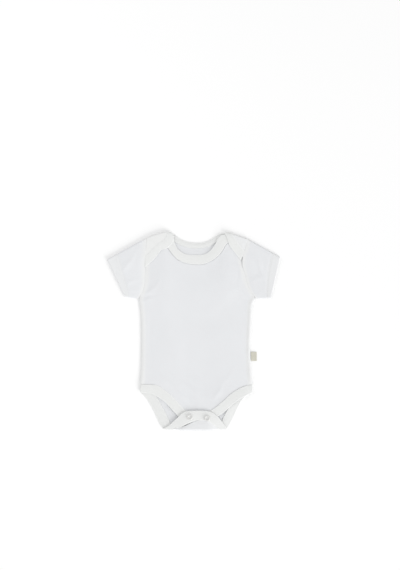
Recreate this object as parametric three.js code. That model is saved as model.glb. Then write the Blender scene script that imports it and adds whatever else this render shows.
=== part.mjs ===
// A newborn's short-sleeved bodysuit of white cotton, laid flat on its back.
// Millimetres, +Z up from the surface it lies on. The neck points to +Y, the crotch to -Y.
// The back lies on the surface, the front lies on the back, the shoulder laps of the back come
// over the front at the top, and the crotch flap of the back is folded up over the front
// and held by two snaps.
import * as THREE from 'three';

// Sizes of the cloth.
const CLOTH = 1.0; // thickness of the cotton interlock
const RIB = 1.8; // thickness of the doubled rib bindings
const RIB_EDGE = 1.2; // thickness of a binding at its free edge
const SEAM = 0.35; // space left between two pieces that are sewn together
const FOLD_EASE = 1.9; // widens the seam where a binding turns over the left shoulder
const HEM = 14; // width of the turned hem of a sleeve
const HEM_INSIDE = 1.2; // how far the turned hem reaches in from the middle of the cloth
const LOW = CLOTH / 2; // middle of a sheet that lies on the surface

// Loft of the front over the back.
const CROWN = 1.2; // rise of the front above its edges
const CROWN_SIDE = 16; // run of that rise from the side seams
const CROWN_LEG = 26; // run of that rise from the leg bindings
const CROWN_NECK = 40; // run of that rise from the neckline
const SLEEVE_CROWN = 0.5; // rise of the top of a sleeve

// Divisions.
const SIDE_STEPS = [0, 0.014, 0.029, 0.042, 0.056, 0.075]; // columns beside a side seam
const FRONT_COLUMNS = 24; // columns of the front between those of its sides
const LEG_COLUMNS = 11;
const CROTCH_COLUMNS = 14;
const LEFT_LAP_COLUMNS = 9;
const NECK_COLUMNS = 21;
const RIGHT_LAP_COLUMNS = 6;
const ROLL_STEPS = 4; // steps of a sheet round a fold
const LAP_ROWS = 3;

// Snaps.
const SNAP_STEPS = 20;
const CAP_RADIUS = 5.25;
const CAP_HOLE = 2.7;
const SOCKET_RADIUS = 4.6;
const SOCKET_HOLE = 2.1;
const POST_RADIUS = 1.6;
const POST_HOLE = 0.8;

// Turns rows of numbers into rows with named columns.
function table(columns, rows) {
  const names = columns.split(' ');
  return rows.map((row) => Object.fromEntries(names.map((name, k) => [name, row[k]])));
}

// Each edge that carries a binding: x and y follow the cloth, outX and outY the free edge
// of the binding, z is the height of the middle of the cloth.

// Front leg curves and crotch end, from the left side seam to the right one.
const FRONT_LEG = table('x y outX outY z', [
  [-96.4, -96.6, -96.4, -110.6, 2.7],
  [-84.2, -96.4, -84.2, -112.4, 2.8],
  [-73.4, -96.8, -75.2, -113.7, 3.0],
  [-63.6, -99.3, -66.2, -118.2, 3.2],
  [-53.9, -105.9, -58.1, -123.4, 3.4],
  [-44.9, -112.6, -50.9, -129.5, 3.5],
  [-37.4, -119.4, -45.3, -134.9, 3.5],
  [-30.2, -127.4, -40.1, -141.0, 3.4],
  [-22.6, -135.6, -33.8, -147.9, 3.1],
  [-15.8, -142.8, -25.7, -156.0, 2.8],
  [-7.7, -147.5, -14.8, -162.3, 2.7],
  [5.9, -149.3, 5.9, -165.2, 2.7],
  [20.2, -148.2, 26.6, -162.6, 2.7],
  [29.2, -143.9, 37.4, -157.6, 2.8],
  [38.6, -138.2, 46.4, -152.4, 3.1],
  [47.2, -131.0, 54.5, -146.8, 3.4],
  [55.4, -123.8, 62.6, -139.4, 3.5],
  [64.5, -115.1, 70.7, -132.2, 3.5],
  [73.2, -109.0, 79.7, -125.2, 3.4],
  [83.2, -102.9, 88.7, -119.8, 3.2],
  [95.0, -98.5, 97.3, -115.1, 3.0],
  [105.6, -97.5, 105.9, -110.8, 2.7],
]);

// Front neckline, from the left armhole under the left lap, round the neck, to the right armhole.
const FRONT_NECK = table('x y outX outY z', [
  [-86.7, 144.6, -85.6, 158.6, 2.0],
  [-75.2, 148.8, -77.0, 163.2, 2.1],
  [-65.2, 151.7, -67.4, 166.4, 2.3],
  [-57.1, 153.5, -57.5, 169.3, 2.6],
  [-51.2, 152.7, -46.4, 170.4, 2.8],
  [-46.9, 149.1, -38.1, 166.1, 2.8],
  [-42.4, 142.3, -34.5, 158.9, 2.8],
  [-36.8, 135.1, -30.3, 149.9, 2.8],
  [-29.6, 128.2, -23.7, 143.0, 2.8],
  [-19.7, 123.2, -15.8, 138.7, 2.8],
  [-8.6, 120.3, -6.8, 136.9, 2.8],
  [4.0, 119.1, 4.0, 136.4, 2.8],
  [16.7, 119.6, 14.1, 136.7, 2.8],
  [27.4, 123.2, 22.1, 139.1, 2.8],
  [37.4, 129.0, 29.2, 143.9, 2.8],
  [46.4, 136.9, 35.2, 151.1, 2.8],
  [53.0, 145.9, 39.9, 158.5, 2.8],
  [58.4, 155.3, 43.6, 166.6, 2.8],
  [64.0, 158.9, 50.9, 172.7, 2.8],
  [71.5, 159.2, 64.4, 173.1, 2.6],
  [80.5, 155.6, 79.7, 168.6, 2.3],
  [91.9, 144.6, 94.6, 159.0, 2.1],
]);

// Back leg curve on the left, from the side seam to the crotch fold.
const BACK_LEG_LEFT = table('x y outX outY', [
  [-96.4, -93.0, -96.4, -109.9],
  [-85.0, -99.3, -90.3, -117.3],
  [-74.2, -109.2, -83.4, -125.2],
  [-65.2, -120.9, -77.0, -136.0],
  [-58.1, -133.5, -71.2, -147.2],
  [-50.9, -147.0, -65.8, -158.7],
  [-44.2, -161.4, -60.8, -169.5],
  [-37.0, -176.0, -54.6, -176.0],
]);

// Round the crotch flap that lies on the front, from one end of the crotch fold to the other.
const FLAP = table('x y outX outY z', [
  [-37.0, -176.0, -54.6, -176.0, 5.7],
  [-31.6, -174.7, -45.5, -171.1, 6.0],
  [-24.8, -173.4, -36.5, -162.8, 6.4],
  [-18.4, -170.4, -27.4, -154.5, 6.8],
  [-11.2, -167.0, -21.5, -148.6, 7.0],
  [-4.0, -163.9, -13.1, -144.6, 7.0],
  [4.0, -161.2, -1.4, -143.6, 7.0],
  [12.2, -160.3, 13.1, -143.4, 7.0],
  [20.2, -161.0, 25.7, -144.6, 7.0],
  [27.4, -163.5, 35.6, -148.2, 7.0],
  [33.8, -167.3, 44.4, -155.4, 6.8],
  [39.1, -172.3, 52.3, -165.5, 6.2],
  [44.2, -176.0, 60.2, -176.0, 5.7],
]);

// Back leg curve on the right, from the crotch fold to the side seam.
const BACK_LEG_RIGHT = table('x y outX outY', [
  [44.2, -176.0, 60.2, -176.0],
  [49.6, -164.1, 65.2, -167.7],
  [56.2, -150.6, 72.5, -153.3],
  [64.7, -135.3, 79.7, -137.1],
  [73.4, -122.7, 86.9, -124.5],
  [84.2, -110.1, 95.0, -116.9],
  [95.0, -100.2, 101.2, -113.3],
  [105.9, -93.9, 105.9, -110.4],
]);

// Left lap, from the armhole to the shoulder fold at the neck.
const LAP_LEFT = table('x y outX outY z', [
  [-87.1, 132.9, -87.6, 114.2, 4.5],
  [-80.9, 139.1, -80.0, 121.0, 4.7],
  [-74.1, 146.3, -71.5, 129.0, 4.9],
  [-67.2, 153.1, -64.4, 137.3, 5.0],
  [-61.1, 158.1, -58.2, 145.2, 5.1],
  [-55.7, 161.7, -51.4, 146.8, 5.2],
  [-51.8, 165.0, -45.8, 150.2, 5.3],
  [-49.6, 167.9, -39.9, 156.0, 5.3],
  [-48.3, 170.4, -35.7, 163.2, 5.3],
]);

// Back neckline, from the left shoulder fold to the right one.
const BACK_NECK = table('x y outX outY', [
  [-47.5, 176.4, -36.6, 172.6],
  [-41.9, 166.1, -30.7, 170.4],
  [-31.9, 158.1, -24.4, 165.9],
  [-20.2, 152.7, -16.1, 161.9],
  [-6.8, 149.3, -5.0, 159.0],
  [6.8, 148.4, 6.8, 158.1],
  [20.2, 149.9, 19.4, 159.2],
  [32.9, 154.2, 29.2, 163.2],
  [45.5, 161.7, 38.2, 169.1],
  [58.1, 169.1, 46.9, 174.4],
  [70.0, 172.0, 55.6, 175.0],
]);

// Right lap, from the shoulder fold at the neck to the armhole.
const LAP_RIGHT = table('x y outX outY z', [
  [73.5, 167.1, 59.7, 168.0, 5.3],
  [76.0, 162.5, 61.5, 160.7, 5.3],
  [79.7, 157.4, 64.7, 153.3, 5.2],
  [84.3, 151.8, 69.4, 145.7, 5.0],
  [88.3, 147.3, 74.8, 139.4, 4.8],
  [91.2, 142.8, 85.0, 127.2, 4.5],
]);

// Shoulder folds of the back, and the height at which each lap starts.
const FOLD_LEFT = table('x y z', [
  [-84.3, 165.3, 4.3],
  [-76.6, 168.8, 4.6],
  [-65.9, 172.2, 4.9],
  [-55.4, 175.2, 5.2],
  [-47.5, 176.4, 5.3],
]);
const FOLD_RIGHT = table('x y z', [
  [70.0, 172.0, 5.3],
  [82.3, 167.8, 4.9],
  [96.0, 163.3, 4.3],
]);

// Side seams and armholes, from the leg up; frontZ is the height of the front there
// and sleeveZ that of the top of the sleeve.
const LEFT_SIDE = table('x y frontZ sleeveZ', [
  [-96.4, -96.6, 2.7, 0],
  [-95.7, -77.7, 2.1, 0],
  [-95.3, -56.1, 1.8, 0],
  [-94.8, -34.5, 1.8, 0],
  [-94.6, -12.9, 1.8, 0],
  [-95.0, 8.7, 1.8, 0],
  [-96.0, 30.3, 1.8, 0],
  [-97.7, 46.5, 1.8, 0],
  [-98.9, 57.3, 1.8, 2.4],
  [-94.4, 68.1, 2.4, 2.8],
  [-90.6, 80.7, 2.8, 3.2],
  [-89.0, 93.3, 2.8, 3.4],
  [-88.5, 105.9, 2.5, 3.6],
  [-87.9, 118.5, 2.2, 4.2],
  [-87.4, 132.9, 2.0, 4.4],
  [-86.7, 144.6, 2.0, 4.4],
  [-85.8, 158.1, 2.0, 4.3],
  [-84.3, 165.3, 2.0, 4.3],
]);
const RIGHT_SIDE = table('x y frontZ sleeveZ', [
  [105.6, -97.5, 2.7, 0],
  [104.0, -77.7, 2.1, 0],
  [102.5, -56.1, 1.8, 0],
  [101.8, -34.5, 1.8, 0],
  [102.2, -12.9, 1.8, 0],
  [103.4, 8.7, 1.8, 0],
  [104.3, 30.3, 1.8, 0],
  [105.8, 46.5, 1.8, 0],
  [110.2, 57.7, 1.8, 2.4],
  [104.9, 68.1, 2.4, 2.8],
  [98.0, 80.7, 2.8, 3.2],
  [94.8, 93.3, 2.8, 3.4],
  [91.4, 105.9, 2.5, 3.6],
  [87.8, 118.5, 2.2, 4.2],
  [88.3, 132.9, 2.0, 4.4],
  [91.9, 144.6, 2.1, 4.4],
  [95.1, 158.1, 2.0, 4.3],
  [96.0, 163.3, 2.0, 4.3],
]);
const FRONT_TOP_ROW = 15; // last row of a side that belongs to the front
const UNDERARM_ROW = 8; // row of a side at the underarm

// Sleeves: the ends of the top fold and of the underarm fold at the cuff, and at the armhole
// the underarm end; awayX and awayY point out of each fold.
const SLEEVES = table('side topX topY lowX lowY armX armY topAwayX topAwayY lowAwayX lowAwayY', [
  [-1, -155.1, 126.9, -124.4, 63.1, -99.3, 58.9, -0.478, 0.879, -0.138, -0.99],
  [1, 154.7, 130.7, 138.7, 60.8, 110.9, 59.4, 0.487, 0.873, 0.03, -1],
]);
const CUFF_Z = 3.9;
const SLEEVE_STATIONS = [0, 0.2, 0.42, 0.62];

// Largest folds and ridges of the upper cloth: where each runs, its half width and its height.
const FOLDS = table('x1 y1 x2 y2 width height', [
  [94.5, 50, 93.2, -34, 2.2, 0.6],
  [93.2, -34, 95.0, -88, 2.2, 0.6],
  [-84.2, 46, -83.3, -85, 3.0, 0.35],
  [-19.4, -94, 11.3, -124, 4.0, 0.7],
  [-32.0, -108, -12.0, -132, 3.5, 0.6],
  [50.9, -97, 32.9, -124, 4.0, 0.5],
  [84.2, 124, 84.0, 84, 3.5, 0.5],
  [-95.0, 62, -64.0, 86, 5.0, 0.7],
  [104.9, 55, 76.0, 79, 5.0, 0.6],
  [-42.8, 2, -28.0, -74, 14, 0.4],
  [36.0, 60, 30.0, -30, 16, 0.35],
  [-104.0, 145, -136.0, 99, 5.0, 0.5],
  [112.0, 142, 133.0, 84, 5.0, 0.5],
  [-75.0, 160, -60.0, 146, 3.5, 0.35],
]);

const SNAPS = table('name x y', [
  ['left', -7.1, -155.2],
  ['right', 24.4, -157.1],
]);
const BACKING_Z = 1.3;
const STUD_Z = 4.3;
const SOCKET_Z = 5.1;
const CAP_Z = 8.6;

const TAB_INNER = 103.0;
const TAB_OUTER = 113.4;
const TAB_LOW = -54.3;
const TAB_HIGH = -38.1;

const cotton = (name) => material(name, 0xe9eaec, 0.9, 0);
const rib = (name) => material(name, 0xeceeee, 0.92, 0);
const steel = (name) => material(name, 0xd4d6d8, 0.35, 0.8);
const tape = (name) => material(name, 0xdad8cc, 0.8, 0);

function material(name, color, roughness, metalness) {
  return new THREE.MeshStandardMaterial({ name, color, roughness, metalness });
}

function mix(a, b, t) {
  return a + (b - a) * t;
}

function ease(t) {
  const k = Math.min(1, Math.max(0, t));
  return k * k * (3 - 2 * k);
}

// Blends two rows with the same columns.
function blend(a, b, t) {
  return Object.fromEntries(Object.keys(a).map((key) => [key, mix(a[key], b[key], t)]));
}

// A smooth curve through the rows of a table, at a place counted in rows.
function smooth(rows, place) {
  const k = Math.min(rows.length - 2, Math.floor(place));
  const t = place - k;
  const p = [k - 1, k, k + 1, k + 2].map((i) => rows[Math.min(rows.length - 1, Math.max(0, i))]);
  const out = {};
  for (const key of Object.keys(rows[0])) {
    const [a, b, c, d] = p.map((row) => row[key]);
    out[key] = b + 0.5 * t * (c - a + t * (2 * a - 5 * b + 4 * c - d + t * (3 * (b - c) + d - a)));
  }
  return out;
}

// The rows of a table, spaced evenly from first to last.
function spread(rows, cells) {
  const out = [];
  for (let k = 0; k <= cells; k += 1) {
    out.push(smooth(rows, (k / cells) * (rows.length - 1)));
  }
  return out;
}

// The rows of a table at given shares of its length along x and y.
function along(rows, shares) {
  const fine = spread(rows, (rows.length - 1) * 8);
  const run = [0];
  for (let k = 1; k < fine.length; k += 1) {
    run.push(run[k - 1] + Math.hypot(fine[k].x - fine[k - 1].x, fine[k].y - fine[k - 1].y));
  }
  return shares.map((share) => {
    const goal = share * run[run.length - 1];
    let k = 1;
    while (k < run.length - 1 && run[k] < goal) k += 1;
    return blend(fine[k - 1], fine[k], (goal - run[k - 1]) / (run[k] - run[k - 1]));
  });
}

// Height that the folds add at a place.
function folds(x, y) {
  let height = 0;
  for (const f of FOLDS) {
    const dx = f.x2 - f.x1;
    const dy = f.y2 - f.y1;
    const t = Math.min(1, Math.max(0, ((x - f.x1) * dx + (y - f.y1) * dy) / (dx * dx + dy * dy)));
    const away = Math.hypot(x - f.x1 - dx * t, y - f.y1 - dy * t);
    height += f.height * Math.exp(-((away / f.width) ** 2));
  }
  return height;
}

// A sheet between four edges; all edges are lists of points, shares are those of the columns.
function patch(bottom, top, left, right, shares) {
  const last = bottom.length - 1;
  const rise = top[0].y - bottom[0].y;
  return left.map((start, i) => {
    const v = (start.y - bottom[0].y) / rise;
    return bottom.map((base, j) => {
      const u = shares[j];
      const point = {};
      for (const key of ['x', 'y', 'z']) {
        const atLeft = start[key] - mix(bottom[0][key], top[0][key], v);
        const atRight = right[i][key] - mix(bottom[last][key], top[last][key], v);
        point[key] = mix(base[key], top[j][key], v) + mix(atLeft, atRight, u);
      }
      return point;
    });
  });
}

// A point moved round a fold: turn runs from 0 at the lower sheet to 1 at the upper one.
function roll(low, high, away, turn) {
  const radius = (high.z - low.z) / 2;
  const angle = Math.PI * turn;
  return {
    ...blend(low, high, turn),
    x: mix(low.x, high.x, turn) + away.x * radius * Math.sin(angle),
    y: mix(low.y, high.y, turn) + away.y * radius * Math.sin(angle),
    z: mix(low.z, high.z, 0.5) - radius * Math.cos(angle),
  };
}

// Rows of a sheet between the lower and the upper row of a fold, both left out.
function rollRows(low, high, away, steps) {
  const rows = [];
  for (let k = 1; k < steps; k += 1) {
    rows.push(low.map((point, j) => roll(point, high[j], away, k / steps)));
  }
  return rows;
}

function flatNormal(a, b, side) {
  const length = Math.hypot(b.x - a.x, b.y - a.y);
  return { x: (-(b.y - a.y) / length) * side, y: ((b.x - a.x) / length) * side };
}

// Gives a thickness to sheets drawn as grids of points on their middle, and closes the rim.
// A point may state how far the cloth reaches to either side of it (front, back).
function wall(name, grids, finish) {
  const points = [];
  const ids = new Map();
  const faces = [];
  const idOf = (p) => {
    const key = [p.x, p.y, p.z].map((value) => value.toFixed(3)).join(' ');
    if (!ids.has(key)) {
      ids.set(key, points.length);
      points.push({ ...p, at: new THREE.Vector3(p.x, p.y, p.z), normal: new THREE.Vector3() });
    }
    return ids.get(key);
  };
  const addFace = (a, b, c) => {
    if (a === b || b === c || a === c) return;
    faces.push([a, b, c]);
    const [p, q, r] = [a, b, c].map((k) => points[k].at);
    const cross = new THREE.Vector3().subVectors(q, p).cross(new THREE.Vector3().subVectors(r, p));
    [a, b, c].forEach((k) => points[k].normal.add(cross));
  };
  for (const grid of grids) {
    for (let i = 0; i < grid.length - 1; i += 1) {
      for (let j = 0; j < grid[i].length - 1; j += 1) {
        const [a, b] = [idOf(grid[i][j]), idOf(grid[i][j + 1])];
        const [c, d] = [idOf(grid[i + 1][j + 1]), idOf(grid[i + 1][j])];
        const acrossA = points[a].at.distanceTo(points[c].at);
        const acrossB = points[b].at.distanceTo(points[d].at);
        if (acrossA <= acrossB) {
          addFace(a, b, c);
          addFace(a, c, d);
        } else {
          addFace(a, b, d);
          addFace(b, c, d);
        }
      }
    }
  }
  const count = points.length;
  const positions = [];
  const place = (p, reach) => {
    const q = p.at.clone().addScaledVector(p.normal, reach);
    positions.push(q.x, q.y, Math.max(0, q.z));
  };
  points.forEach((p) => p.normal.normalize());
  points.forEach((p) => place(p, p.front ?? CLOTH / 2));
  points.forEach((p) => place(p, -(p.back ?? CLOTH / 2)));
  const index = [];
  const edges = new Set(faces.flatMap(([a, b, c]) => [`${a} ${b}`, `${b} ${c}`, `${c} ${a}`]));
  for (const [a, b, c] of faces) {
    index.push(a, b, c, a + count, c + count, b + count);
  }
  for (const edge of edges) {
    const [a, b] = edge.split(' ').map(Number);
    if (!edges.has(`${b} ${a}`)) {
      index.push(a, a + count, b + count, a, b + count, b);
    }
  }
  const geometry = new THREE.BufferGeometry();
  geometry.setAttribute('position', new THREE.Float32BufferAttribute(positions, 3));
  geometry.setIndex(index);
  geometry.computeVertexNormals();
  const mesh = new THREE.Mesh(geometry, finish(`${name}_material`));
  mesh.name = name;
  return mesh;
}

// The three points across a binding at one station: beside the cloth, middle, free edge.
// away points square out of the cloth's edge. The height is that of the middle of the rib,
// or null where it lies on the surface.
function across(station, away, height) {
  const place = (share, thickness, off) => ({
    x: mix(station.x, station.outX, share) + away.x * off,
    y: mix(station.y, station.outY, share) + away.y * off,
    z: height === null ? thickness / 2 : height,
    front: thickness / 2,
    back: thickness / 2,
  });
  return [place(0, RIB, SEAM), place(0.5, RIB, 0), place(1, RIB_EDGE, 0)];
}

// Panels.
const frontShares = [
  ...SIDE_STEPS,
  ...Array.from({ length: FRONT_COLUMNS - 1 }, (_, k) => {
    const edge = SIDE_STEPS[SIDE_STEPS.length - 1];
    return mix(edge, 1 - edge, (k + 1) / FRONT_COLUMNS);
  }),
  ...SIDE_STEPS.map((share) => 1 - share).reverse(),
];
const frontLeg = along(FRONT_LEG, frontShares);
const frontNeck = along(FRONT_NECK, frontShares);

function frontPanel() {
  const side = (rows) => rows.slice(0, FRONT_TOP_ROW + 1).map((row) => ({ ...row, z: row.frontZ }));
  const grid = patch(frontLeg, frontNeck, side(LEFT_SIDE), side(RIGHT_SIDE), frontShares);
  const shaped = grid.map((row, i) => row.map((p, j) => {
    const edges = [
      ease((p.x - row[0].x) / CROWN_SIDE),
      ease((row[row.length - 1].x - p.x) / CROWN_SIDE),
      ease((p.y - grid[0][j].y) / CROWN_LEG),
      ease((grid[grid.length - 1][j].y - p.y) / CROWN_NECK),
    ];
    const share = edges.reduce((a, b) => a * b);
    const nearEdge = ease((edges[0] * edges[1] * edges[2]) * 3) * Math.min(1, edges[3] * 3);
    return { ...p, z: p.z + CROWN * share + folds(p.x, p.y) * nearEdge };
  }));
  return wall('front_panel', [shaped], cotton);
}

const legShares = (cells) => Array.from({ length: cells + 1 }, (_, k) => k / cells);
const backLegLeft = along(BACK_LEG_LEFT, legShares(LEG_COLUMNS));
const backLegRight = along(BACK_LEG_RIGHT, legShares(LEG_COLUMNS));
const backNeck = along(BACK_NECK, legShares(NECK_COLUMNS));
const flapEdge = spread(FLAP.slice(1, -1), CROTCH_COLUMNS);
const lapLeft = spread(LAP_LEFT, LEFT_LAP_COLUMNS);
const lapRight = spread(LAP_RIGHT, RIGHT_LAP_COLUMNS);
const foldLeft = along(FOLD_LEFT, legShares(LEFT_LAP_COLUMNS));
const foldRight = along(FOLD_RIGHT, legShares(RIGHT_LAP_COLUMNS));
const awayLeft = flatNormal(foldLeft[0], foldLeft[LEFT_LAP_COLUMNS], 1);
const awayRight = flatNormal(foldRight[0], foldRight[RIGHT_LAP_COLUMNS], 1);
const awayCrotch = { x: 0, y: -1 };

const point = (row, z) => ({ x: row.x, y: row.y, z });
const atLow = (rows) => rows.map((row) => point(row, LOW));

// Rows from the upper side of a fold to the edge of what is folded over.
function overRows(high, edge, rows) {
  const out = [];
  for (let k = 0; k <= rows; k += 1) {
    out.push(high.map((p, j) => {
      const q = blend(point(p, p.z), point(edge[j], edge[j].z), k / rows);
      return { ...q, z: q.z + (k === 0 ? 0 : folds(q.x, q.y)) };
    }));
  }
  return out;
}

function backPanel() {
  const crotch = [];
  for (let k = 0; k <= CROTCH_COLUMNS; k += 1) {
    crotch.push({ ...blend(FLAP[0], FLAP[FLAP.length - 1], k / CROTCH_COLUMNS) });
  }
  const bottom = atLow([...backLegLeft, ...crotch.slice(1, -1), ...backLegRight]);
  const top = atLow([...foldLeft, ...backNeck.slice(1, -1), ...foldRight]);
  const shares = top.map((_, k) => k / (top.length - 1));
  const side = (rows, first) => atLow([first, ...rows.slice(1)]);
  const left = side(LEFT_SIDE, BACK_LEG_LEFT[0]);
  const right = side(RIGHT_SIDE, BACK_LEG_RIGHT[BACK_LEG_RIGHT.length - 1]);
  const body = patch(bottom, top, left, right, shares);
  const lap = (low, high, edge, away) => [
    low,
    ...rollRows(low, high.map((p) => point(p, p.z)), away, ROLL_STEPS),
    ...overRows(high, edge, LAP_ROWS),
  ];
  const topRow = body[body.length - 1];
  const rightStart = topRow.length - 1 - RIGHT_LAP_COLUMNS;
  const flap = lap(body[0].slice(LEG_COLUMNS, LEG_COLUMNS + CROTCH_COLUMNS + 1), crotch, flapEdge, awayCrotch);
  return wall('back_panel', [
    body,
    lap(topRow.slice(0, LEFT_LAP_COLUMNS + 1), foldLeft, lapLeft, awayLeft),
    lap(topRow.slice(rightStart), foldRight, lapRight, awayRight),
    flap.reverse(),
  ], cotton);
}

// Bindings.
const proud = (RIB - CLOTH) / 2;

// Which way is square out of the cloth's edge at a row. side is 1 where the free edge lies
// left of the way the rows run, -1 where it lies right.
function awayAt(rows, k, side) {
  return flatNormal(rows[Math.max(0, k - 1)], rows[Math.min(rows.length - 1, k + 1)], side);
}

// The same where two edges meet at a corner, lengthened to keep the seam of both.
function corner(a, b) {
  const turn = 1 + a.x * b.x + a.y * b.y;
  return { x: (a.x + b.x) / turn, y: (a.y + b.y) / turn };
}

// Rows across a binding; corners gives the way out at rows that lie on a fold.
function bindingRows(rows, side, lift, corners = {}) {
  return rows.map((row, k) => {
    const away = corners[k] ?? awayAt(rows, k, side);
    return across(row, away, row.z === undefined ? null : row.z + lift);
  });
}

function frontNeckBinding() {
  return wall('neck_binding_front', [bindingRows(frontNeck, 1, proud)], rib);
}

function frontLegBinding() {
  return wall('leg_binding_front', [bindingRows(frontLeg, -1, proud)], rib);
}

function backNeckBinding() {
  const last = BACK_NECK.length - 1;
  const leftRows = [...lapLeft, { ...BACK_NECK[0], z: LAP_LEFT[LAP_LEFT.length - 1].z }];
  const rightRows = [{ ...BACK_NECK[last], z: LAP_RIGHT[0].z }, ...lapRight];
  const leftEnd = leftRows.length - 1;
  const square = corner(awayAt(backNeck, 0, 1), awayAt(leftRows, leftEnd, -1));
  const leftCorner = { x: square.x * FOLD_EASE, y: square.y * FOLD_EASE };
  const rightCorner = corner(awayAt(backNeck, NECK_COLUMNS, 1), awayAt(rightRows, 0, -1));
  const neck = bindingRows(backNeck, 1, 0, { 0: leftCorner, [NECK_COLUMNS]: rightCorner });
  const left = bindingRows(leftRows, -1, 0, { [leftEnd]: leftCorner });
  const right = bindingRows(rightRows, -1, 0, { 0: rightCorner });
  return wall('neck_binding_back', [[
    ...left,
    ...rollRows(neck[0], left[leftEnd], awayLeft, ROLL_STEPS + 1).reverse(),
    ...neck,
    ...rollRows(neck[NECK_COLUMNS], right[0], awayRight, ROLL_STEPS + 1),
    ...right,
  ]], rib);
}

function backLegBinding() {
  const flapRows = [FLAP[0], ...flapEdge, FLAP[FLAP.length - 1]];
  const flapEnd = flapRows.length - 1;
  const leftCorner = corner(awayAt(backLegLeft, LEG_COLUMNS, -1), awayAt(flapRows, 0, 1));
  const rightCorner = corner(awayAt(backLegRight, 0, -1), awayAt(flapRows, flapEnd, 1));
  const left = bindingRows(backLegLeft, -1, 0, { [LEG_COLUMNS]: leftCorner });
  const right = bindingRows(backLegRight, -1, 0, { 0: rightCorner });
  const flap = bindingRows(flapRows, 1, proud, { 0: leftCorner, [flapEnd]: rightCorner });
  return wall('leg_binding_back', [[
    ...left,
    ...rollRows(left[LEG_COLUMNS], flap[0], awayCrotch, ROLL_STEPS + 1),
    ...flap,
    ...rollRows(right[0], flap[flapEnd], awayCrotch, ROLL_STEPS + 1).reverse(),
    ...right,
  ]], rib);
}

// A sleeve: rings round both layers, from the armhole to the cuff.
function sleeve(name, size, side) {
  const arm = side.slice(UNDERARM_ROW).map((row) => ({
    x: row.x + SEAM * size.side,
    y: row.y,
    z: row.sleeveZ,
  }));
  arm[0] = { ...arm[0], x: size.armX, y: size.armY };
  const cuff = arm.map((p) => {
    const t = (p.y - arm[0].y) / (arm[arm.length - 1].y - arm[0].y);
    return { x: mix(size.lowX, size.topX, t), y: mix(size.lowY, size.topY, t), z: CUFF_Z };
  });
  const length = Math.hypot(cuff[5].x - arm[5].x, cuff[5].y - arm[5].y);
  const hemStart = 1 - HEM / length;
  const stations = [...SLEEVE_STATIONS, hemStart - 0.02, hemStart, 1];
  const topAway = { x: size.topAwayX, y: size.topAwayY };
  const lowAway = { x: size.lowAwayX, y: size.lowAwayY };
  const rings = stations.map((s) => {
    const inside = s >= hemStart ? HEM_INSIDE : CLOTH / 2;
    const middle = arm.map((p, k) => {
      const q = blend(p, cuff[k], s);
      const t = k / (arm.length - 1);
      const puff = 4 * t * (1 - t) * (SLEEVE_CROWN * ease(s * 4) + folds(q.x, q.y) * ease(s * 6));
      return { ...q, z: q.z + puff * (1 - 0.6 * ease((s - hemStart + 0.1) * 8)) };
    });
    const under = middle.map((p) => ({ ...p, z: LOW }));
    const last = middle.length - 1;
    const topTurn = [];
    const lowTurn = [];
    for (let k = 1; k < ROLL_STEPS; k += 1) {
      topTurn.push(roll(under[last], middle[last], topAway, k / ROLL_STEPS));
      lowTurn.push(roll(under[0], middle[0], lowAway, 1 - k / ROLL_STEPS));
    }
    const ring = [...under, ...topTurn, ...middle.reverse(), ...lowTurn, under[0]];
    const outFirst = size.side > 0;
    return ring.map((p) => ({
      ...p,
      front: outFirst ? CLOTH / 2 : inside,
      back: outFirst ? inside : CLOTH / 2,
    }));
  });
  return wall(name, [rings], cotton);
}

// A ring turned from a closed outline of radius and height pairs.
function turned(name, outline, x, y, z) {
  const profile = [...outline, outline[0]].map(([r, h]) => new THREE.Vector2(r, h));
  const geometry = new THREE.LatheGeometry(profile, SNAP_STEPS);
  geometry.rotateX(Math.PI / 2);
  geometry.translate(x, y, z);
  const mesh = new THREE.Mesh(geometry, steel(`${name}_material`));
  mesh.name = name;
  return mesh;
}

// The four pieces of a fastened ring snap, from under the front to the top of the flap.
function snap({ name, x, y }) {
  const backing = [[CAP_HOLE, 0], [CAP_RADIUS, 0], [CAP_RADIUS - 0.2, 0.6], [CAP_HOLE + 0.2, 0.6]];
  const stud = [
    [POST_HOLE, 0],
    [SOCKET_RADIUS, 0],
    [SOCKET_RADIUS, 0.5],
    [POST_RADIUS, 0.5],
    [POST_RADIUS, 1.6],
    [POST_HOLE, 1.6],
  ];
  const socket = [[SOCKET_HOLE, 0], [SOCKET_RADIUS, 0], [SOCKET_RADIUS, 1.0], [SOCKET_HOLE, 1.0]];
  const cap = [
    [CAP_HOLE, 0],
    [CAP_RADIUS, 0],
    [CAP_RADIUS, 0.35],
    [CAP_RADIUS - 0.7, 0.75],
    [CAP_HOLE + 0.6, 0.75],
    [CAP_HOLE, 0.35],
  ];
  return [
    turned(`snap_${name}_backing`, backing, x, y, BACKING_Z),
    turned(`snap_${name}_stud`, stud, x, y, STUD_Z),
    turned(`snap_${name}_socket`, socket, x, y, SOCKET_Z),
    turned(`snap_${name}_cap`, cap, x, y, CAP_Z),
  ];
}

// The folded tape in the right side seam, drooping to the surface.
function sideTab() {
  const droop = table('share z', [
    [0, 1.3],
    [0.35, 1.15],
    [0.7, 0.7],
    [1, 0.5],
  ]);
  const grid = droop.map(({ share, z }) => [TAB_LOW, (TAB_LOW + TAB_HIGH) / 2, TAB_HIGH].map((y) => ({
    x: mix(TAB_INNER, TAB_OUTER, share),
    y,
    z,
  })));
  return wall('side_tab', [grid], tape);
}

const bodysuit = new THREE.Group();
bodysuit.name = 'baby_bodysuit';
bodysuit.add(
  backPanel(),
  frontPanel(),
  sleeve('sleeve_left', SLEEVES[0], LEFT_SIDE),
  sleeve('sleeve_right', SLEEVES[1], RIGHT_SIDE),
  frontNeckBinding(),
  backNeckBinding(),
  frontLegBinding(),
  backLegBinding(),
  ...SNAPS.flatMap(snap),
  sideTab(),
);

export default bodysuit;
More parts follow.
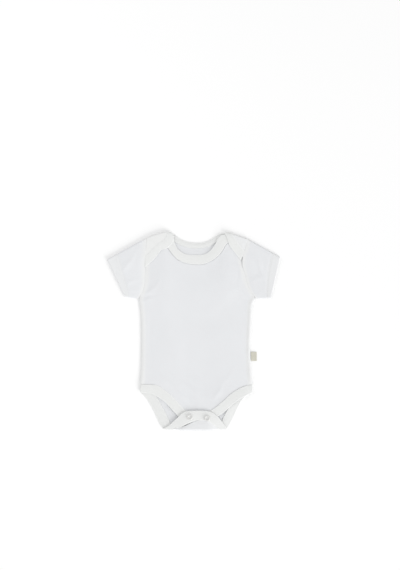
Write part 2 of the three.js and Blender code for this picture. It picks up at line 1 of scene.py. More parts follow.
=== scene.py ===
# %% [markdown]
# # A newborn's bodysuit, laid flat
#
# The garment is cut from white cotton interlock, bound with rib at the neck and legs, and closed
# at the crotch with two ring snaps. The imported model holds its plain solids. Here each solid gets
# a finer piece of cloth or metal that stands in the same place, with the seams, creases, stitches
# and finishes of the real one. The model is loaded first, because every size comes from its frame.

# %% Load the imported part
import math

import bpy
import numpy as np
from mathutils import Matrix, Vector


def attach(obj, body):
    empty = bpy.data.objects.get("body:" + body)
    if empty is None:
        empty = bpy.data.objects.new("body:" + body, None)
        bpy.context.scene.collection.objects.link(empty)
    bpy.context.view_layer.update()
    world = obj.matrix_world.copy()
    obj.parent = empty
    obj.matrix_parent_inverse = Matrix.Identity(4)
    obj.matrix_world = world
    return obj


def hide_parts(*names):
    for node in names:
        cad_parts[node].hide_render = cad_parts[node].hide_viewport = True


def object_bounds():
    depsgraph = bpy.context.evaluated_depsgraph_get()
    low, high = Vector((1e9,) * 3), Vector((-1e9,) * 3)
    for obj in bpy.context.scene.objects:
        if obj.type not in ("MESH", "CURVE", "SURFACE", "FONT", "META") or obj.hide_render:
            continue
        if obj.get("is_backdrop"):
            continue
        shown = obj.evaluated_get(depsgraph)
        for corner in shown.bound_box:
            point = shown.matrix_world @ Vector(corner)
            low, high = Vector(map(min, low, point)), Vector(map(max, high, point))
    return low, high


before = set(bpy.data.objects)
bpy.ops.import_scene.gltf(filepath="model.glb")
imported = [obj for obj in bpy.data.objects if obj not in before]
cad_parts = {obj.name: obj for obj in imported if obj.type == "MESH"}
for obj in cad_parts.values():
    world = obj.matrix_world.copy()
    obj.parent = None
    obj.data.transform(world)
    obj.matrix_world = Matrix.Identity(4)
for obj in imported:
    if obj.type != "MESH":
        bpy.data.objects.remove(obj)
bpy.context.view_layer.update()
MM = 0.001

# %% [markdown]
# ## Camera, floor and light
#
# The photograph looks straight down at the cloth, so the camera does too, from far enough away
# that the thin garment shows almost no perspective. The floor is a plain white sheet. A white
# garment reads only through its soft shadows: most light comes evenly from all round, one large
# softbox low on the right rakes over seams and creases, and a weak fill lightens the left.

# %% Look straight down
VIEW_X, VIEW_Y = 11.25 * MM, 82.5 * MM
VIEW_HEIGHT = 1026 * MM
LENS, SENSOR = 85, 36
CLOTH_TOP = 4 * MM

camera = bpy.data.objects.new("camera", bpy.data.cameras.new("camera"))
camera.data.lens = LENS
camera.data.sensor_width = SENSOR
camera.location = (VIEW_X, VIEW_Y, VIEW_HEIGHT * LENS / SENSOR + CLOTH_TOP)
bpy.context.scene.collection.objects.link(camera)
bpy.context.scene.camera = camera
print("camera height", round(camera.location.z, 3), "m")

# %% Lay a white floor and light it
FLOOR_SIZE = 16.0
FLOOR_DROP = 0.1 * MM
FLOOR_COLOUR = (0.982, 0.982, 0.982, 1)
SKY_STRENGTH = 0.777
LAMPS = {
    "softbox": {"power": 250, "size": 3.4, "at": (4.6, -4.6, 2.65)},
    "fill": {"power": 2.7, "size": 0.7, "at": (-1.0, 0.4, 1.15)},
}

half = FLOOR_SIZE / 2
corners = [(-half, -half), (half, -half), (half, half), (-half, half)]
floor_mesh = bpy.data.meshes.new("floor")
floor_mesh.from_pydata([(x, y, -FLOOR_DROP) for x, y in corners], [], [(0, 1, 2, 3)])
floor = bpy.data.objects.new("floor", floor_mesh)
bpy.context.scene.collection.objects.link(floor)
floor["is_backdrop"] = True

floor_paint = bpy.data.materials.new("floor_white")
floor_paint.use_nodes = True
floor_shader = floor_paint.node_tree.nodes["Principled BSDF"]
for socket, value in (("Base Color", FLOOR_COLOUR), ("Roughness", 1.0), ("Specular IOR Level", 0.0)):
    floor_shader.inputs[socket].default_value = value
floor_mesh.materials.append(floor_paint)

sky = bpy.data.worlds.new("sky")
sky.use_nodes = True
sky_light = sky.node_tree.nodes["Background"]
sky_light.inputs["Color"].default_value = (1.0, 1.0, 1.0, 1)
sky_light.inputs["Strength"].default_value = SKY_STRENGTH
bpy.context.scene.world = sky

for title, settings in LAMPS.items():
    lamp = bpy.data.objects.new(title, bpy.data.lights.new(title, "AREA"))
    lamp.data.energy = settings["power"]
    lamp.data.size = settings["size"]
    lamp.location = settings["at"]
    aim = -lamp.location
    lamp.rotation_euler = aim.to_track_quat("-Z", "Y").to_euler()
    bpy.context.scene.collection.objects.link(lamp)
    print(title, round(aim.length, 2), "m away")
bpy.context.scene.view_settings.view_transform = "Standard"

# %% [markdown]
# ## The paper pattern
#
# Each edge of the cloth is a short table in millimetres: where the cloth ends, where the free edge
# of the rib on it runs, and how high the middle of the cloth lies. They are the same edges that
# the solids have, so that the pieces land in the solids' places. A smooth curve runs through the
# rows, and a finer sheet than the solid's is stretched between the curves.

# %% Read tables and draw curves through them
CLOTH = 1.0
RIB = 1.8
RIB_EDGE = 1.2
LOW = CLOTH / 2
FINE_STEPS = 16


def table(columns, rows):
    """Rows of numbers as named columns."""
    values = np.array(rows, float)
    return {name: values[:, k] for k, name in enumerate(columns.split())}


def count(rows):
    return len(rows["x"])


def part_of(rows, first, last):
    """Some rows of a table, both ends included."""
    return {name: values[first:last + 1] for name, values in rows.items()}


def row_of(rows, k):
    return {name: values[k] for name, values in rows.items()}


def mix(a, b, t):
    return a + (b - a) * t


def ease(t):
    """0 below 0 and 1 above 1, with a soft start and end between."""
    k = np.clip(t, 0, 1)
    return k * k * (3 - 2 * k)


def bell(distance, width):
    """1 at no distance, falling softly to almost 0 at two widths."""
    return np.exp(-(distance / width) ** 2)


def smooth(rows, places):
    """Points of a smooth curve through the rows, at places counted in rows."""
    places = np.asarray(places, float)
    k = np.clip(np.floor(places).astype(int), 0, count(rows) - 2)
    t = places - k
    out = {}
    for name, values in rows.items():
        a, b, c, d = [values[np.clip(k + step, 0, count(rows) - 1)] for step in (-1, 0, 1, 2)]
        bend = 2 * a - 5 * b + 4 * c - d + t * (3 * (b - c) + d - a)
        out[name] = b + 0.5 * t * (c - a + t * bend)
    return out


def spread(rows, cells):
    """A curve through the rows, its points spaced evenly by rows."""
    return smooth(rows, np.linspace(0, count(rows) - 1, cells + 1))


def along(rows, cells):
    """A curve through the rows, its points spaced evenly by length."""
    fine = spread(rows, (count(rows) - 1) * FINE_STEPS)
    run = np.hypot(np.diff(fine["x"]), np.diff(fine["y"])).cumsum()
    run = np.concatenate([[0], run])
    goal = np.linspace(0, run[-1], cells + 1)
    return {name: np.interp(goal, run, values) for name, values in fine.items()}


def points(rows, z=None):
    """The curve as an array of points; z is a height for all, or None for the rows' own."""
    height = rows["z"] if z is None else np.full(count(rows), float(z))
    return np.stack([rows["x"], rows["y"], height], axis=-1)


# %% Tables of the front
FRONT_LEG = table("x y outX outY z", [
    [-96.4, -96.6, -96.4, -110.6, 2.7],
    [-84.2, -96.4, -84.2, -112.4, 2.8],
    [-73.4, -96.8, -75.2, -113.7, 3.0],
    [-63.6, -99.3, -66.2, -118.2, 3.2],
    [-53.9, -105.9, -58.1, -123.4, 3.4],
    [-44.9, -112.6, -50.9, -129.5, 3.5],
    [-37.4, -119.4, -45.3, -134.9, 3.5],
    [-30.2, -127.4, -40.1, -141.0, 3.4],
    [-22.6, -135.6, -33.8, -147.9, 3.1],
    [-15.8, -142.8, -25.7, -156.0, 2.8],
    [-7.7, -147.5, -14.8, -162.3, 2.7],
    [5.9, -149.3, 5.9, -165.2, 2.7],
    [20.2, -148.2, 26.6, -162.6, 2.7],
    [29.2, -143.9, 37.4, -157.6, 2.8],
    [38.6, -138.2, 46.4, -152.4, 3.1],
    [47.2, -131.0, 54.5, -146.8, 3.4],
    [55.4, -123.8, 62.6, -139.4, 3.5],
    [64.5, -115.1, 70.7, -132.2, 3.5],
    [73.2, -109.0, 79.7, -125.2, 3.4],
    [83.2, -102.9, 88.7, -119.8, 3.2],
    [95.0, -98.5, 97.3, -115.1, 3.0],
    [105.6, -97.5, 105.9, -110.8, 2.7],
])
FRONT_NECK = table("x y outX outY z", [
    [-86.7, 144.6, -85.6, 158.6, 2.0],
    [-75.2, 148.8, -77.0, 163.2, 2.1],
    [-65.2, 151.7, -67.4, 166.4, 2.3],
    [-57.1, 153.5, -57.5, 169.3, 2.6],
    [-51.2, 152.7, -46.4, 170.4, 2.8],
    [-46.9, 149.1, -38.1, 166.1, 2.8],
    [-42.4, 142.3, -34.5, 158.9, 2.8],
    [-36.8, 135.1, -30.3, 149.9, 2.6],
    [-29.6, 128.2, -23.7, 143.0, 2.4],
    [-19.7, 123.2, -15.8, 138.7, 2.2],
    [-8.6, 120.3, -6.8, 136.9, 2.1],
    [4.0, 119.1, 4.0, 136.4, 2.1],
    [16.7, 119.6, 14.1, 136.7, 2.1],
    [27.4, 123.2, 22.1, 139.1, 2.2],
    [37.4, 129.0, 29.2, 143.9, 2.4],
    [46.4, 136.9, 35.2, 151.1, 2.6],
    [53.0, 145.9, 39.9, 158.5, 2.8],
    [58.4, 155.3, 43.6, 166.6, 2.8],
    [64.0, 158.9, 50.9, 172.7, 2.8],
    [71.5, 159.2, 64.4, 173.1, 2.6],
    [80.5, 155.6, 79.7, 168.6, 2.3],
    [91.9, 144.6, 94.6, 159.0, 2.1],
])
LEFT_SIDE = table("x y front sleeve", [
    [-96.4, -96.6, 2.7, 0],
    [-95.7, -77.7, 1.9, 0],
    [-95.3, -56.1, 1.52, 0],
    [-94.8, -34.5, 1.52, 0],
    [-94.6, -12.9, 1.52, 0],
    [-95.0, 8.7, 1.52, 0],
    [-96.0, 30.3, 1.52, 0],
    [-97.7, 46.5, 1.52, 0],
    [-98.9, 57.3, 1.7, 2.1],
    [-94.4, 68.1, 2.2, 2.4],
    [-90.6, 80.7, 2.4, 2.6],
    [-89.0, 93.3, 2.5, 2.7],
    [-88.5, 105.9, 2.5, 2.9],
    [-87.9, 118.5, 2.3, 3.6],
    [-87.4, 132.9, 2.0, 4.4],
    [-86.7, 144.6, 2.0, 4.4],
    [-85.8, 158.1, 2.0, 4.3],
    [-84.3, 165.3, 2.0, 4.3],
])
RIGHT_SIDE = table("x y front sleeve", [
    [105.6, -97.5, 2.7, 0],
    [104.0, -77.7, 1.9, 0],
    [102.5, -56.1, 1.52, 0],
    [101.8, -34.5, 1.52, 0],
    [102.2, -12.9, 1.52, 0],
    [103.4, 8.7, 1.52, 0],
    [104.3, 30.3, 1.52, 0],
    [105.8, 46.5, 1.52, 0],
    [110.2, 57.7, 1.7, 2.1],
    [104.9, 68.1, 2.2, 2.4],
    [98.0, 80.7, 2.4, 2.6],
    [94.8, 93.3, 2.5, 2.7],
    [91.4, 105.9, 2.5, 2.9],
    [87.8, 118.5, 2.3, 3.6],
    [88.3, 132.9, 2.0, 4.4],
    [91.9, 144.6, 2.1, 4.4],
    [95.1, 158.1, 2.0, 4.3],
    [96.0, 163.3, 2.0, 4.3],
])
FRONT_TOP_ROW = 15
UNDERARM_ROW = 8
print("front: hem of", count(FRONT_LEG), "rows, neckline of", count(FRONT_NECK), "rows")

# %% Tables of the back, its laps and its flap
BACK_LEG_LEFT = table("x y outX outY", [
    [-96.4, -93.0, -96.4, -109.9],
    [-85.0, -99.3, -90.3, -117.3],
    [-74.2, -109.2, -83.4, -125.2],
    [-65.2, -120.9, -77.0, -136.0],
    [-58.1, -133.5, -71.2, -147.2],
    [-50.9, -147.0, -65.8, -158.7],
    [-44.2, -161.4, -60.8, -169.5],
    [-37.0, -176.0, -54.6, -176.0],
])
FLAP = table("x y outX outY z", [
    [-37.0, -176.0, -54.6, -176.0, 2.4],
    [-31.6, -174.7, -45.5, -171.1, 2.9],
    [-24.8, -173.4, -36.5, -162.8, 4.1],
    [-18.4, -170.4, -27.4, -154.5, 5.2],
    [-11.2, -167.0, -21.5, -148.6, 5.4],
    [-4.0, -163.9, -13.1, -144.6, 5.4],
    [4.0, -161.2, -1.4, -143.6, 5.4],
    [12.2, -160.3, 13.1, -143.4, 5.4],
    [20.2, -161.0, 25.7, -144.6, 5.4],
    [27.4, -163.5, 35.6, -148.2, 5.4],
    [33.8, -167.3, 44.4, -155.4, 5.2],
    [39.1, -172.3, 52.3, -165.5, 4.0],
    [44.2, -176.0, 60.2, -176.0, 2.4],
])
BACK_LEG_RIGHT = table("x y outX outY", [
    [44.2, -176.0, 60.2, -176.0],
    [49.6, -164.1, 65.2, -167.7],
    [56.2, -150.6, 72.5, -153.3],
    [64.7, -135.3, 79.7, -137.1],
    [73.4, -122.7, 86.9, -124.5],
    [84.2, -110.1, 95.0, -116.9],
    [95.0, -100.2, 101.2, -113.3],
    [105.9, -93.9, 105.9, -110.4],
])
LAP_LEFT = table("x y outX outY z", [
    [-87.1, 132.9, -87.6, 114.2, 4.2],
    [-80.9, 139.1, -80.0, 121.0, 4.4],
    [-74.1, 146.3, -71.5, 129.0, 4.6],
    [-67.2, 153.1, -64.4, 137.3, 4.8],
    [-61.1, 158.1, -58.2, 145.2, 5.1],
    [-55.7, 161.7, -51.4, 146.8, 5.2],
    [-51.8, 165.0, -45.8, 150.2, 5.3],
    [-49.6, 167.9, -39.9, 156.0, 5.3],
    [-48.3, 170.4, -35.7, 163.2, 5.3],
])
BACK_NECK = table("x y outX outY", [
    [-47.5, 176.4, -36.6, 172.6],
    [-41.9, 166.1, -30.7, 170.4],
    [-31.9, 158.1, -24.4, 165.9],
    [-20.2, 152.7, -16.1, 161.9],
    [-6.8, 149.3, -5.0, 159.0],
    [6.8, 148.4, 6.8, 158.1],
    [20.2, 149.9, 19.4, 159.2],
    [32.9, 154.2, 29.2, 163.2],
    [45.5, 161.7, 38.2, 169.1],
    [58.1, 169.1, 46.9, 174.4],
    [70.0, 172.0, 55.6, 175.0],
])
LAP_RIGHT = table("x y outX outY z", [
    [73.5, 167.1, 59.7, 168.0, 5.3],
    [76.0, 162.5, 61.5, 160.7, 5.2],
    [79.7, 157.4, 64.7, 153.3, 4.9],
    [84.3, 151.8, 69.4, 145.7, 4.6],
    [88.3, 147.3, 74.8, 139.4, 4.4],
    [91.2, 142.8, 85.0, 127.2, 4.2],
])
FOLD_LEFT = table("x y z", [
    [-84.3, 165.3, 4.3],
    [-76.6, 168.8, 4.6],
    [-65.9, 172.2, 4.9],
    [-55.4, 175.2, 5.2],
    [-47.5, 176.4, 5.3],
])
FOLD_RIGHT = table("x y z", [
    [70.0, 172.0, 5.3],
    [82.3, 167.8, 4.9],
    [96.0, 163.3, 4.3],
])
print("back: flap of", count(FLAP), "rows, neckline of", count(BACK_NECK), "rows")

# %% [markdown]
# ## Creases
#
# Worn and washed cotton never lies quite flat. Wrinkles could come from a cloth simulation, but
# the photograph shows where each one runs, so they are listed one by one: a crease is a bent line
# with a soft ridge on it and a shallow trough beside it, strongest in its middle.

# %% Place the creases
CREASES = table("x y x2 y2 bend width height", [
    [-84.2, 48, -83.3, -88, -0.8, 3.0, 0.2],
    [-19.4, -94, 11.3, -124, 3.0, 3.6, 0.75],
    [-32.0, -106, -10.0, -133, 2.0, 3.2, 0.6],
    [-6.0, -84, 18.0, -101, 2.5, 4.5, 0.35],
    [50.9, -97, 32.9, -124, 3.0, 4.0, 0.5],
    [-62.0, -78, -38.0, -101, -3.0, 4.5, 0.35],
    [70.0, -72, 48.0, -94, 3.0, 5.0, 0.3],
    [84.2, 124, 84.0, 84, 1.0, 3.0, 0.5],
    [-95.0, 62, -64.0, 86, -3.0, 4.0, 0.4],
    [-93.0, 52, -70.0, 58, 2.0, 3.5, 0.35],
    [104.9, 55, 76.0, 79, 3.0, 4.0, 0.35],
    [101.0, 47, 82.0, 55, -2.0, 3.5, 0.3],
    [-42.8, 2, -28.0, -74, 4.0, 14, 0.4],
    [36.0, 60, 30.0, -30, -4.0, 16, 0.35],
    [-62.0, 98, -50.0, 40, 3.0, 13, 0.3],
    [60.0, 112, 66.0, 52, -3.0, 12, 0.3],
    [-104.0, 145, -136.0, 99, 2.5, 4.0, 0.55],
    [-98.0, 92, -121.0, 84, -2.0, 4.0, 0.4],
    [-96.0, 72, -114.0, 74, 1.5, 3.2, 0.35],
    [112.0, 142, 133.0, 84, -2.5, 4.0, 0.5],
    [104.0, 88, 126.0, 96, 2.0, 4.5, 0.4],
    [108.0, 66, 124.0, 71, -1.5, 3.2, 0.35],
    [-75.0, 160, -60.0, 146, 1.0, 3.0, 0.35],
    [-66.0, 166, -54.0, 152, -1.0, 2.4, 0.3],
    [84.0, 160, 87.0, 148, 1.0, 3.0, 0.3],
    [-18.0, 112, 20.0, 108, -3.0, 5.0, 0.25],
    [0.0, -168, 28.0, -171, 1.0, 3.0, 0.3],
])
TROUGH, TROUGH_AT, TROUGH_WIDTH = 0.45, 2.1, 1.3
END_STRENGTH, OVERRUN = 0.35, 0.2
CREASE_REACH = 12
WIDTH_CHANGE, WIDTH_WAVES = 0.2, 9
WAVES, WAVES_PEAK = 5, 3.5


def crease_height(lines, x, y):
    """Height that the creases of a table add at each place."""
    height = np.zeros(np.shape(x))
    for k in range(count(lines)):
        line = row_of(lines, k)
        dx, dy = line["x2"] - line["x"], line["y2"] - line["y"]
        from_x, from_y = x - line["x"], y - line["y"]
        length = math.hypot(dx, dy)
        t = np.clip((from_x * dx + from_y * dy) / length ** 2, -OVERRUN, 1 + OVERRUN)
        bow = line["bend"] * 4 * t * (1 - t)
        side = (from_x * -dy + from_y * dx) / length - bow
        beyond = length * np.maximum(0, np.maximum(-t, t - 1))
        near = (from_x - dx * t) ** 2 + (from_y - dy * t) ** 2 < (CREASE_REACH * line["width"]) ** 2
        strength = mix(END_STRENGTH, 1, np.sin(math.pi * np.clip(t, 0, 1)))
        strength = strength * bell(beyond, line["width"]) * near
        width = line["width"] * (1 + WIDTH_CHANGE * np.sin(WIDTH_WAVES * t + k))
        trough = bell(side - TROUGH_AT * width, TROUGH_WIDTH * width)
        height += line["height"] * strength * (bell(side, width) - TROUGH * trough)
    return height


def ripple(x, y, size, seed):
    """Low uneven waves of about that size, between -1 and 1."""
    total = np.zeros(np.shape(x))
    for heading, phase in np.random.default_rng(seed).uniform(0, 2 * math.pi, (WAVES, 2)):
        ahead = x * math.cos(heading) + y * math.sin(heading)
        total += np.sin(ahead * 2 * math.pi / size + phase)
    return total / WAVES_PEAK


print("creases", count(CREASES))

# %% [markdown]
# ## From a grid of points to cloth
#
# Every piece is first a grid of points on the middle of the cloth. `cloth_piece` gives it a
# thickness along its normals and a rounded rim, as a cut and turned edge has. Solidify could do
# that, but here the thickness varies across a binding, several grids share edges at the folds,
# and nothing may sink below the surface it lies on. The UV map holds millimetres on the flat
# cloth, so that knit and rib follow the fabric round each fold.

# %% Stretch a sheet between four edges, and roll one round a fold
def patch(bottom, top, left, right):
    """A sheet between four edges, each an array of points."""
    rise = top[0, 1] - bottom[0, 1]
    v = ((left[:, 1] - bottom[0, 1]) / rise)[:, None, None]
    u = np.linspace(0, 1, len(bottom))[None, :, None]
    at_left = left[:, None] - mix(bottom[0], top[0], v)
    at_right = right[:, None] - mix(bottom[-1], top[-1], v)
    return mix(bottom[None], top[None], v) + mix(at_left, at_right, u)


def roll(low, high, away, steps):
    """Rows of points round a fold, from the lower row to the upper one, both included."""
    turn = np.linspace(0, 1, steps + 1)[:, None, None]
    radius = (high[:, 2] - low[:, 2])[None, :, None] / 2
    rows = mix(low[None], high[None], turn)
    rows = rows + np.array([away[0], away[1], 0]) * radius * np.sin(math.pi * turn)
    centre = ((low[:, 2] + high[:, 2]) / 2)[None]
    rows[:, :, 2] = centre - radius[:, :, 0] * np.cos(math.pi * turn[:, :, 0])
    return rows


def flat_normal(a, b, side):
    length = math.hypot(b[0] - a[0], b[1] - a[1])
    return np.array([-(b[1] - a[1]) / length * side, (b[0] - a[0]) / length * side])


def run_of(rows):
    """Distance along each row of a grid of points."""
    step = np.linalg.norm(np.diff(rows, axis=1), axis=2)
    return np.concatenate([np.zeros((len(rows), 1)), step.cumsum(axis=1)], axis=1)


def flat_map(grid):
    """Where each point of a grid lies on the flat cloth: across by its columns, along by its rows."""
    u = np.repeat(run_of(grid).mean(axis=0)[None], len(grid), axis=0)
    v = run_of(grid.transpose(1, 0, 2)).T
    return np.stack([u, v], axis=-1)


def normals_of(grid):
    """The way out of a grid's front at each of its points."""
    n = np.cross(np.gradient(grid, axis=1), np.gradient(grid, axis=0))
    return n / np.maximum(np.linalg.norm(n, axis=2, keepdims=True), 1e-9)


# %% Give the sheets a thickness and a rounded rim
RIM_TURNS = (0.25, 0.5, 0.75)
CUT_RIM, FOLDED_RIM = 0.4, 0.8
SHARED_DIGITS = 3


def sheet_grid(middle, front=CLOTH / 2, back=CLOTH / 2, uv=None, doubled_or_painted_light=0.0):
    """A grid of points with how far the cloth reaches to either side, its flat places,
    and how much lighter tone it takes, from 0 to 1: from a second layer showing through, or as painted
    light."""
    size = middle.shape[:2]
    return {
        "middle": middle,
        "front": np.broadcast_to(front, size),
        "back": np.broadcast_to(back, size),
        "doubled_or_painted_light": np.broadcast_to(doubled_or_painted_light, size),
        "uv": flat_map(middle) if uv is None else uv,
    }


def cloth_piece(name, grids, finish, bulge_share):
    """One mesh from grids that share edges: both skins, and a round rim at every open edge."""
    facts = ("front", "back", "doubled_or_painted_light")
    rows = [np.concatenate([g["middle"]] + [g[key][..., None] for key in facts], -1) for g in grids]
    flat = np.concatenate([r.reshape(-1, 6) for r in rows])
    places = np.round(flat[:, :3], SHARED_DIGITS)
    _, first, ids = np.unique(places, axis=0, return_index=True, return_inverse=True)
    ids = ids.reshape(-1)
    place, front, back, doubled_or_painted_light = flat[first, :3], flat[first, 3:4], flat[first, 4:5], flat[first, 5]
    faces, maps, start = [], [], 0
    for g in grids:
        n, m = g["middle"].shape[:2]
        at = start + np.arange(n * m).reshape(n, m)
        quads = np.stack([at[:-1, :-1], at[:-1, 1:], at[1:, 1:], at[1:, :-1]], -1).reshape(-1, 4)
        faces.append(ids[quads])
        maps.append(g["uv"].reshape(-1, 2)[quads - start])
        start += n * m
    faces, maps = np.concatenate(faces), np.concatenate(maps)
    whole = (faces[:, 0] != faces[:, 1]) & (faces[:, 1] != faces[:, 2])
    whole &= (faces[:, 2] != faces[:, 3]) & (faces[:, 3] != faces[:, 0])
    faces, maps = faces[whole], maps[whole]
    diagonals = place[faces[:, 2]] - place[faces[:, 0]], place[faces[:, 3]] - place[faces[:, 1]]
    normal = np.zeros_like(place)
    for k in range(4):
        np.add.at(normal, faces[:, k], np.cross(*diagonals))
    normal /= np.maximum(np.linalg.norm(normal, axis=1, keepdims=True), 1e-9)

    edges = np.concatenate([faces[:, [k, (k + 1) % 4]] for k in range(4)])
    edge_map = np.concatenate([maps[:, [k, (k + 1) % 4]] for k in range(4)])
    total = len(place)
    opposite = np.isin(edges[:, 0] * total + edges[:, 1], edges[:, 1] * total + edges[:, 0])
    rim, rim_map = edges[~opposite], edge_map[~opposite]
    out = np.zeros_like(place)
    sideways = np.cross(place[rim[:, 1]] - place[rim[:, 0]], normal[rim[:, 0]])
    for k in range(2):
        np.add.at(out, rim[:, k], sideways)
    out /= np.maximum(np.linalg.norm(out, axis=1, keepdims=True), 1e-9)

    bulge = (front + back) / 2 * bulge_share
    base = place - out * bulge
    layers = [base + normal * front, base - normal * back]
    for turn in RIM_TURNS:
        reach = np.where(turn < 0.5, front, back) * math.cos(math.pi * turn)
        layers.append(base + normal * reach + out * bulge * math.sin(math.pi * turn))
    on_rim = np.unique(rim)
    renumber = np.zeros(total, int)
    renumber[on_rim] = np.arange(len(on_rim))
    verts = np.concatenate(layers[:2] + [layer[on_rim] for layer in layers[2:]])
    verts[:, 2] = np.maximum(verts[:, 2], 0)
    strips = [rim] + [2 * total + k * len(on_rim) + renumber[rim] for k in range(len(RIM_TURNS))]
    strips.append(rim + total)
    all_faces, all_maps = [faces, faces[:, ::-1] + total], [maps, maps[:, ::-1]]
    for upper, lower in zip(strips[:-1], strips[1:]):
        all_faces.append(np.stack([upper[:, 1], upper[:, 0], lower[:, 0], lower[:, 1]], -1))
        all_maps.append(rim_map[:, [1, 0, 0, 1]])
    faces, maps = np.concatenate(all_faces), np.concatenate(all_maps)
    doubled_or_painted_light = np.concatenate([doubled_or_painted_light, doubled_or_painted_light] + [doubled_or_painted_light[on_rim]] * len(RIM_TURNS))
    return piece_of(name, verts, faces, finish, maps, doubled_or_painted_light)


def piece_of(name, verts, faces, finish, uv=None, doubled_or_painted_light=None):
    """An object at the origin from points in millimetres."""
    mesh = bpy.data.meshes.new(name)
    mesh.from_pydata((np.asarray(verts) * MM).tolist(), [], np.asarray(faces).tolist())
    if uv is not None:
        layer = mesh.uv_layers.new(name="cloth")
        layer.data.foreach_set("uv", np.asarray(uv, np.float32).reshape(-1))
    if doubled_or_painted_light is not None:
        shade = mesh.attributes.new("doubled_or_painted_light", "FLOAT", "POINT")
        shade.data.foreach_set("value", np.asarray(doubled_or_painted_light, np.float32))
    mesh.polygons.foreach_set("use_smooth", [True] * len(mesh.polygons))
    mesh.materials.append(finish)
    mesh.validate()
    piece = bpy.data.objects.new(name, mesh)
    bpy.context.scene.collection.objects.link(piece)
    print(name, len(mesh.polygons), "faces")
    return piece


# %% [markdown]
# ## Finishes
#
# Cotton interlock is a smooth, matt, slightly bluish white knit: fine columns of loops with a
# little nap that catches light at a grazing angle. The rib is the same yarn knitted with deeper
# columns and a warmer white. Both are drawn from the UV map in millimetres, as low relief in the
# bump, as a little unevenness in the colour, and as painted shade that colours the low parts of the
# loops a little darker. The snaps are satin metal, the tab a woven tape.

# %% Lay the nodes that every finish needs
def add_node(tree, kind, **settings):
    node = tree.nodes.new(kind)
    for name, value in settings.items():
        setattr(node, name, value)
    return node


def maths(tree, operation, a, b=None):
    """A Math node; a and b are numbers or outputs of other nodes."""
    node = add_node(tree, "ShaderNodeMath", operation=operation)
    for socket, value in zip(node.inputs, (a, b)):
        if isinstance(value, (int, float)):
            socket.default_value = value
        elif value is not None:
            tree.links.new(value, socket)
    return node.outputs[0]


def noise(tree, scale, detail):
    """Noise on the piece's own coordinates, in metres."""
    coordinates = add_node(tree, "ShaderNodeTexCoord")
    node = add_node(tree, "ShaderNodeTexNoise")
    node.inputs["Scale"].default_value = scale
    node.inputs["Detail"].default_value = detail
    tree.links.new(coordinates.outputs["Object"], node.inputs["Vector"])
    return node.outputs["Fac"]


def colour_between(tree, factor, light, dark):
    """A mix of two colours; each is three numbers or another node's output."""
    node = add_node(tree, "ShaderNodeMix", data_type="RGBA")
    colours = [socket for socket in node.inputs if socket.type == "RGBA"]
    for socket, value in zip(colours, (dark, light)):
        if isinstance(value, tuple):
            socket.default_value = (*value, 1)
        else:
            tree.links.new(value, socket)
    tree.links.new(factor, node.inputs["Factor"])
    return next(socket for socket in node.outputs if socket.type == "RGBA")


def new_finish(name):
    material = bpy.data.materials.new(name)
    material.use_nodes = True
    return material, material.node_tree, material.node_tree.nodes["Principled BSDF"]


def emboss(tree, shader, height, strength, depth):
    """Low relief from a height; depth is in millimetres."""
    bump = add_node(tree, "ShaderNodeBump")
    bump.inputs["Strength"].default_value = strength
    bump.inputs["Distance"].default_value = depth * MM
    tree.links.new(height, bump.inputs["Height"])
    tree.links.new(bump.outputs["Normal"], shader.inputs["Normal"])


def roughen(tree, shader, grain, lowest, change):
    rough = maths(tree, "ADD", maths(tree, "MULTIPLY", grain, change), lowest)
    tree.links.new(rough, shader.inputs["Roughness"])


# %% Make the knits and the tape
LOOP_LEAN, LOOP_SHARE = 1.6, 0.5
FUZZ_SCALE, WASH_SCALE = 900, 14
# The last share paints shade into the knit: the low parts of its relief are coloured darker.
WASH_SHARE, FUZZ_SHARE, RELIEF_SHADE_SHARE = 0.7, 0.3, 0.04
RELIEF_STRENGTH = 0.5
KNIT_ROUGH, KNIT_ROUGH_CHANGE = 0.82, 0.14
KNIT_SHADER = {"Specular IOR Level": 0.2, "Sheen Weight": 0.12, "Sheen Roughness": 0.5}
KNITS = {
    "cotton_interlock": {
        "light": (0.812, 0.822, 0.839), "dark": (0.772, 0.782, 0.799), "over": (0.832, 0.836, 0.830),
        "wale": 0.72, "course": 0.9, "depth": 0.05, "nap": 0.5,
    },
    "cotton_rib": {
        "light": (0.832, 0.840, 0.833), "dark": (0.786, 0.794, 0.786), "over": (0.860, 0.868, 0.860),
        "wale": 1.3, "course": 0.9, "depth": 0.08, "nap": 0.4,
    },
    "woven_tape": {
        "light": (0.67, 0.655, 0.57), "dark": (0.57, 0.555, 0.47), "over": (0.71, 0.695, 0.62),
        "wale": 0.5, "course": 0.5, "depth": 0.06, "nap": 0.3,
    },
}


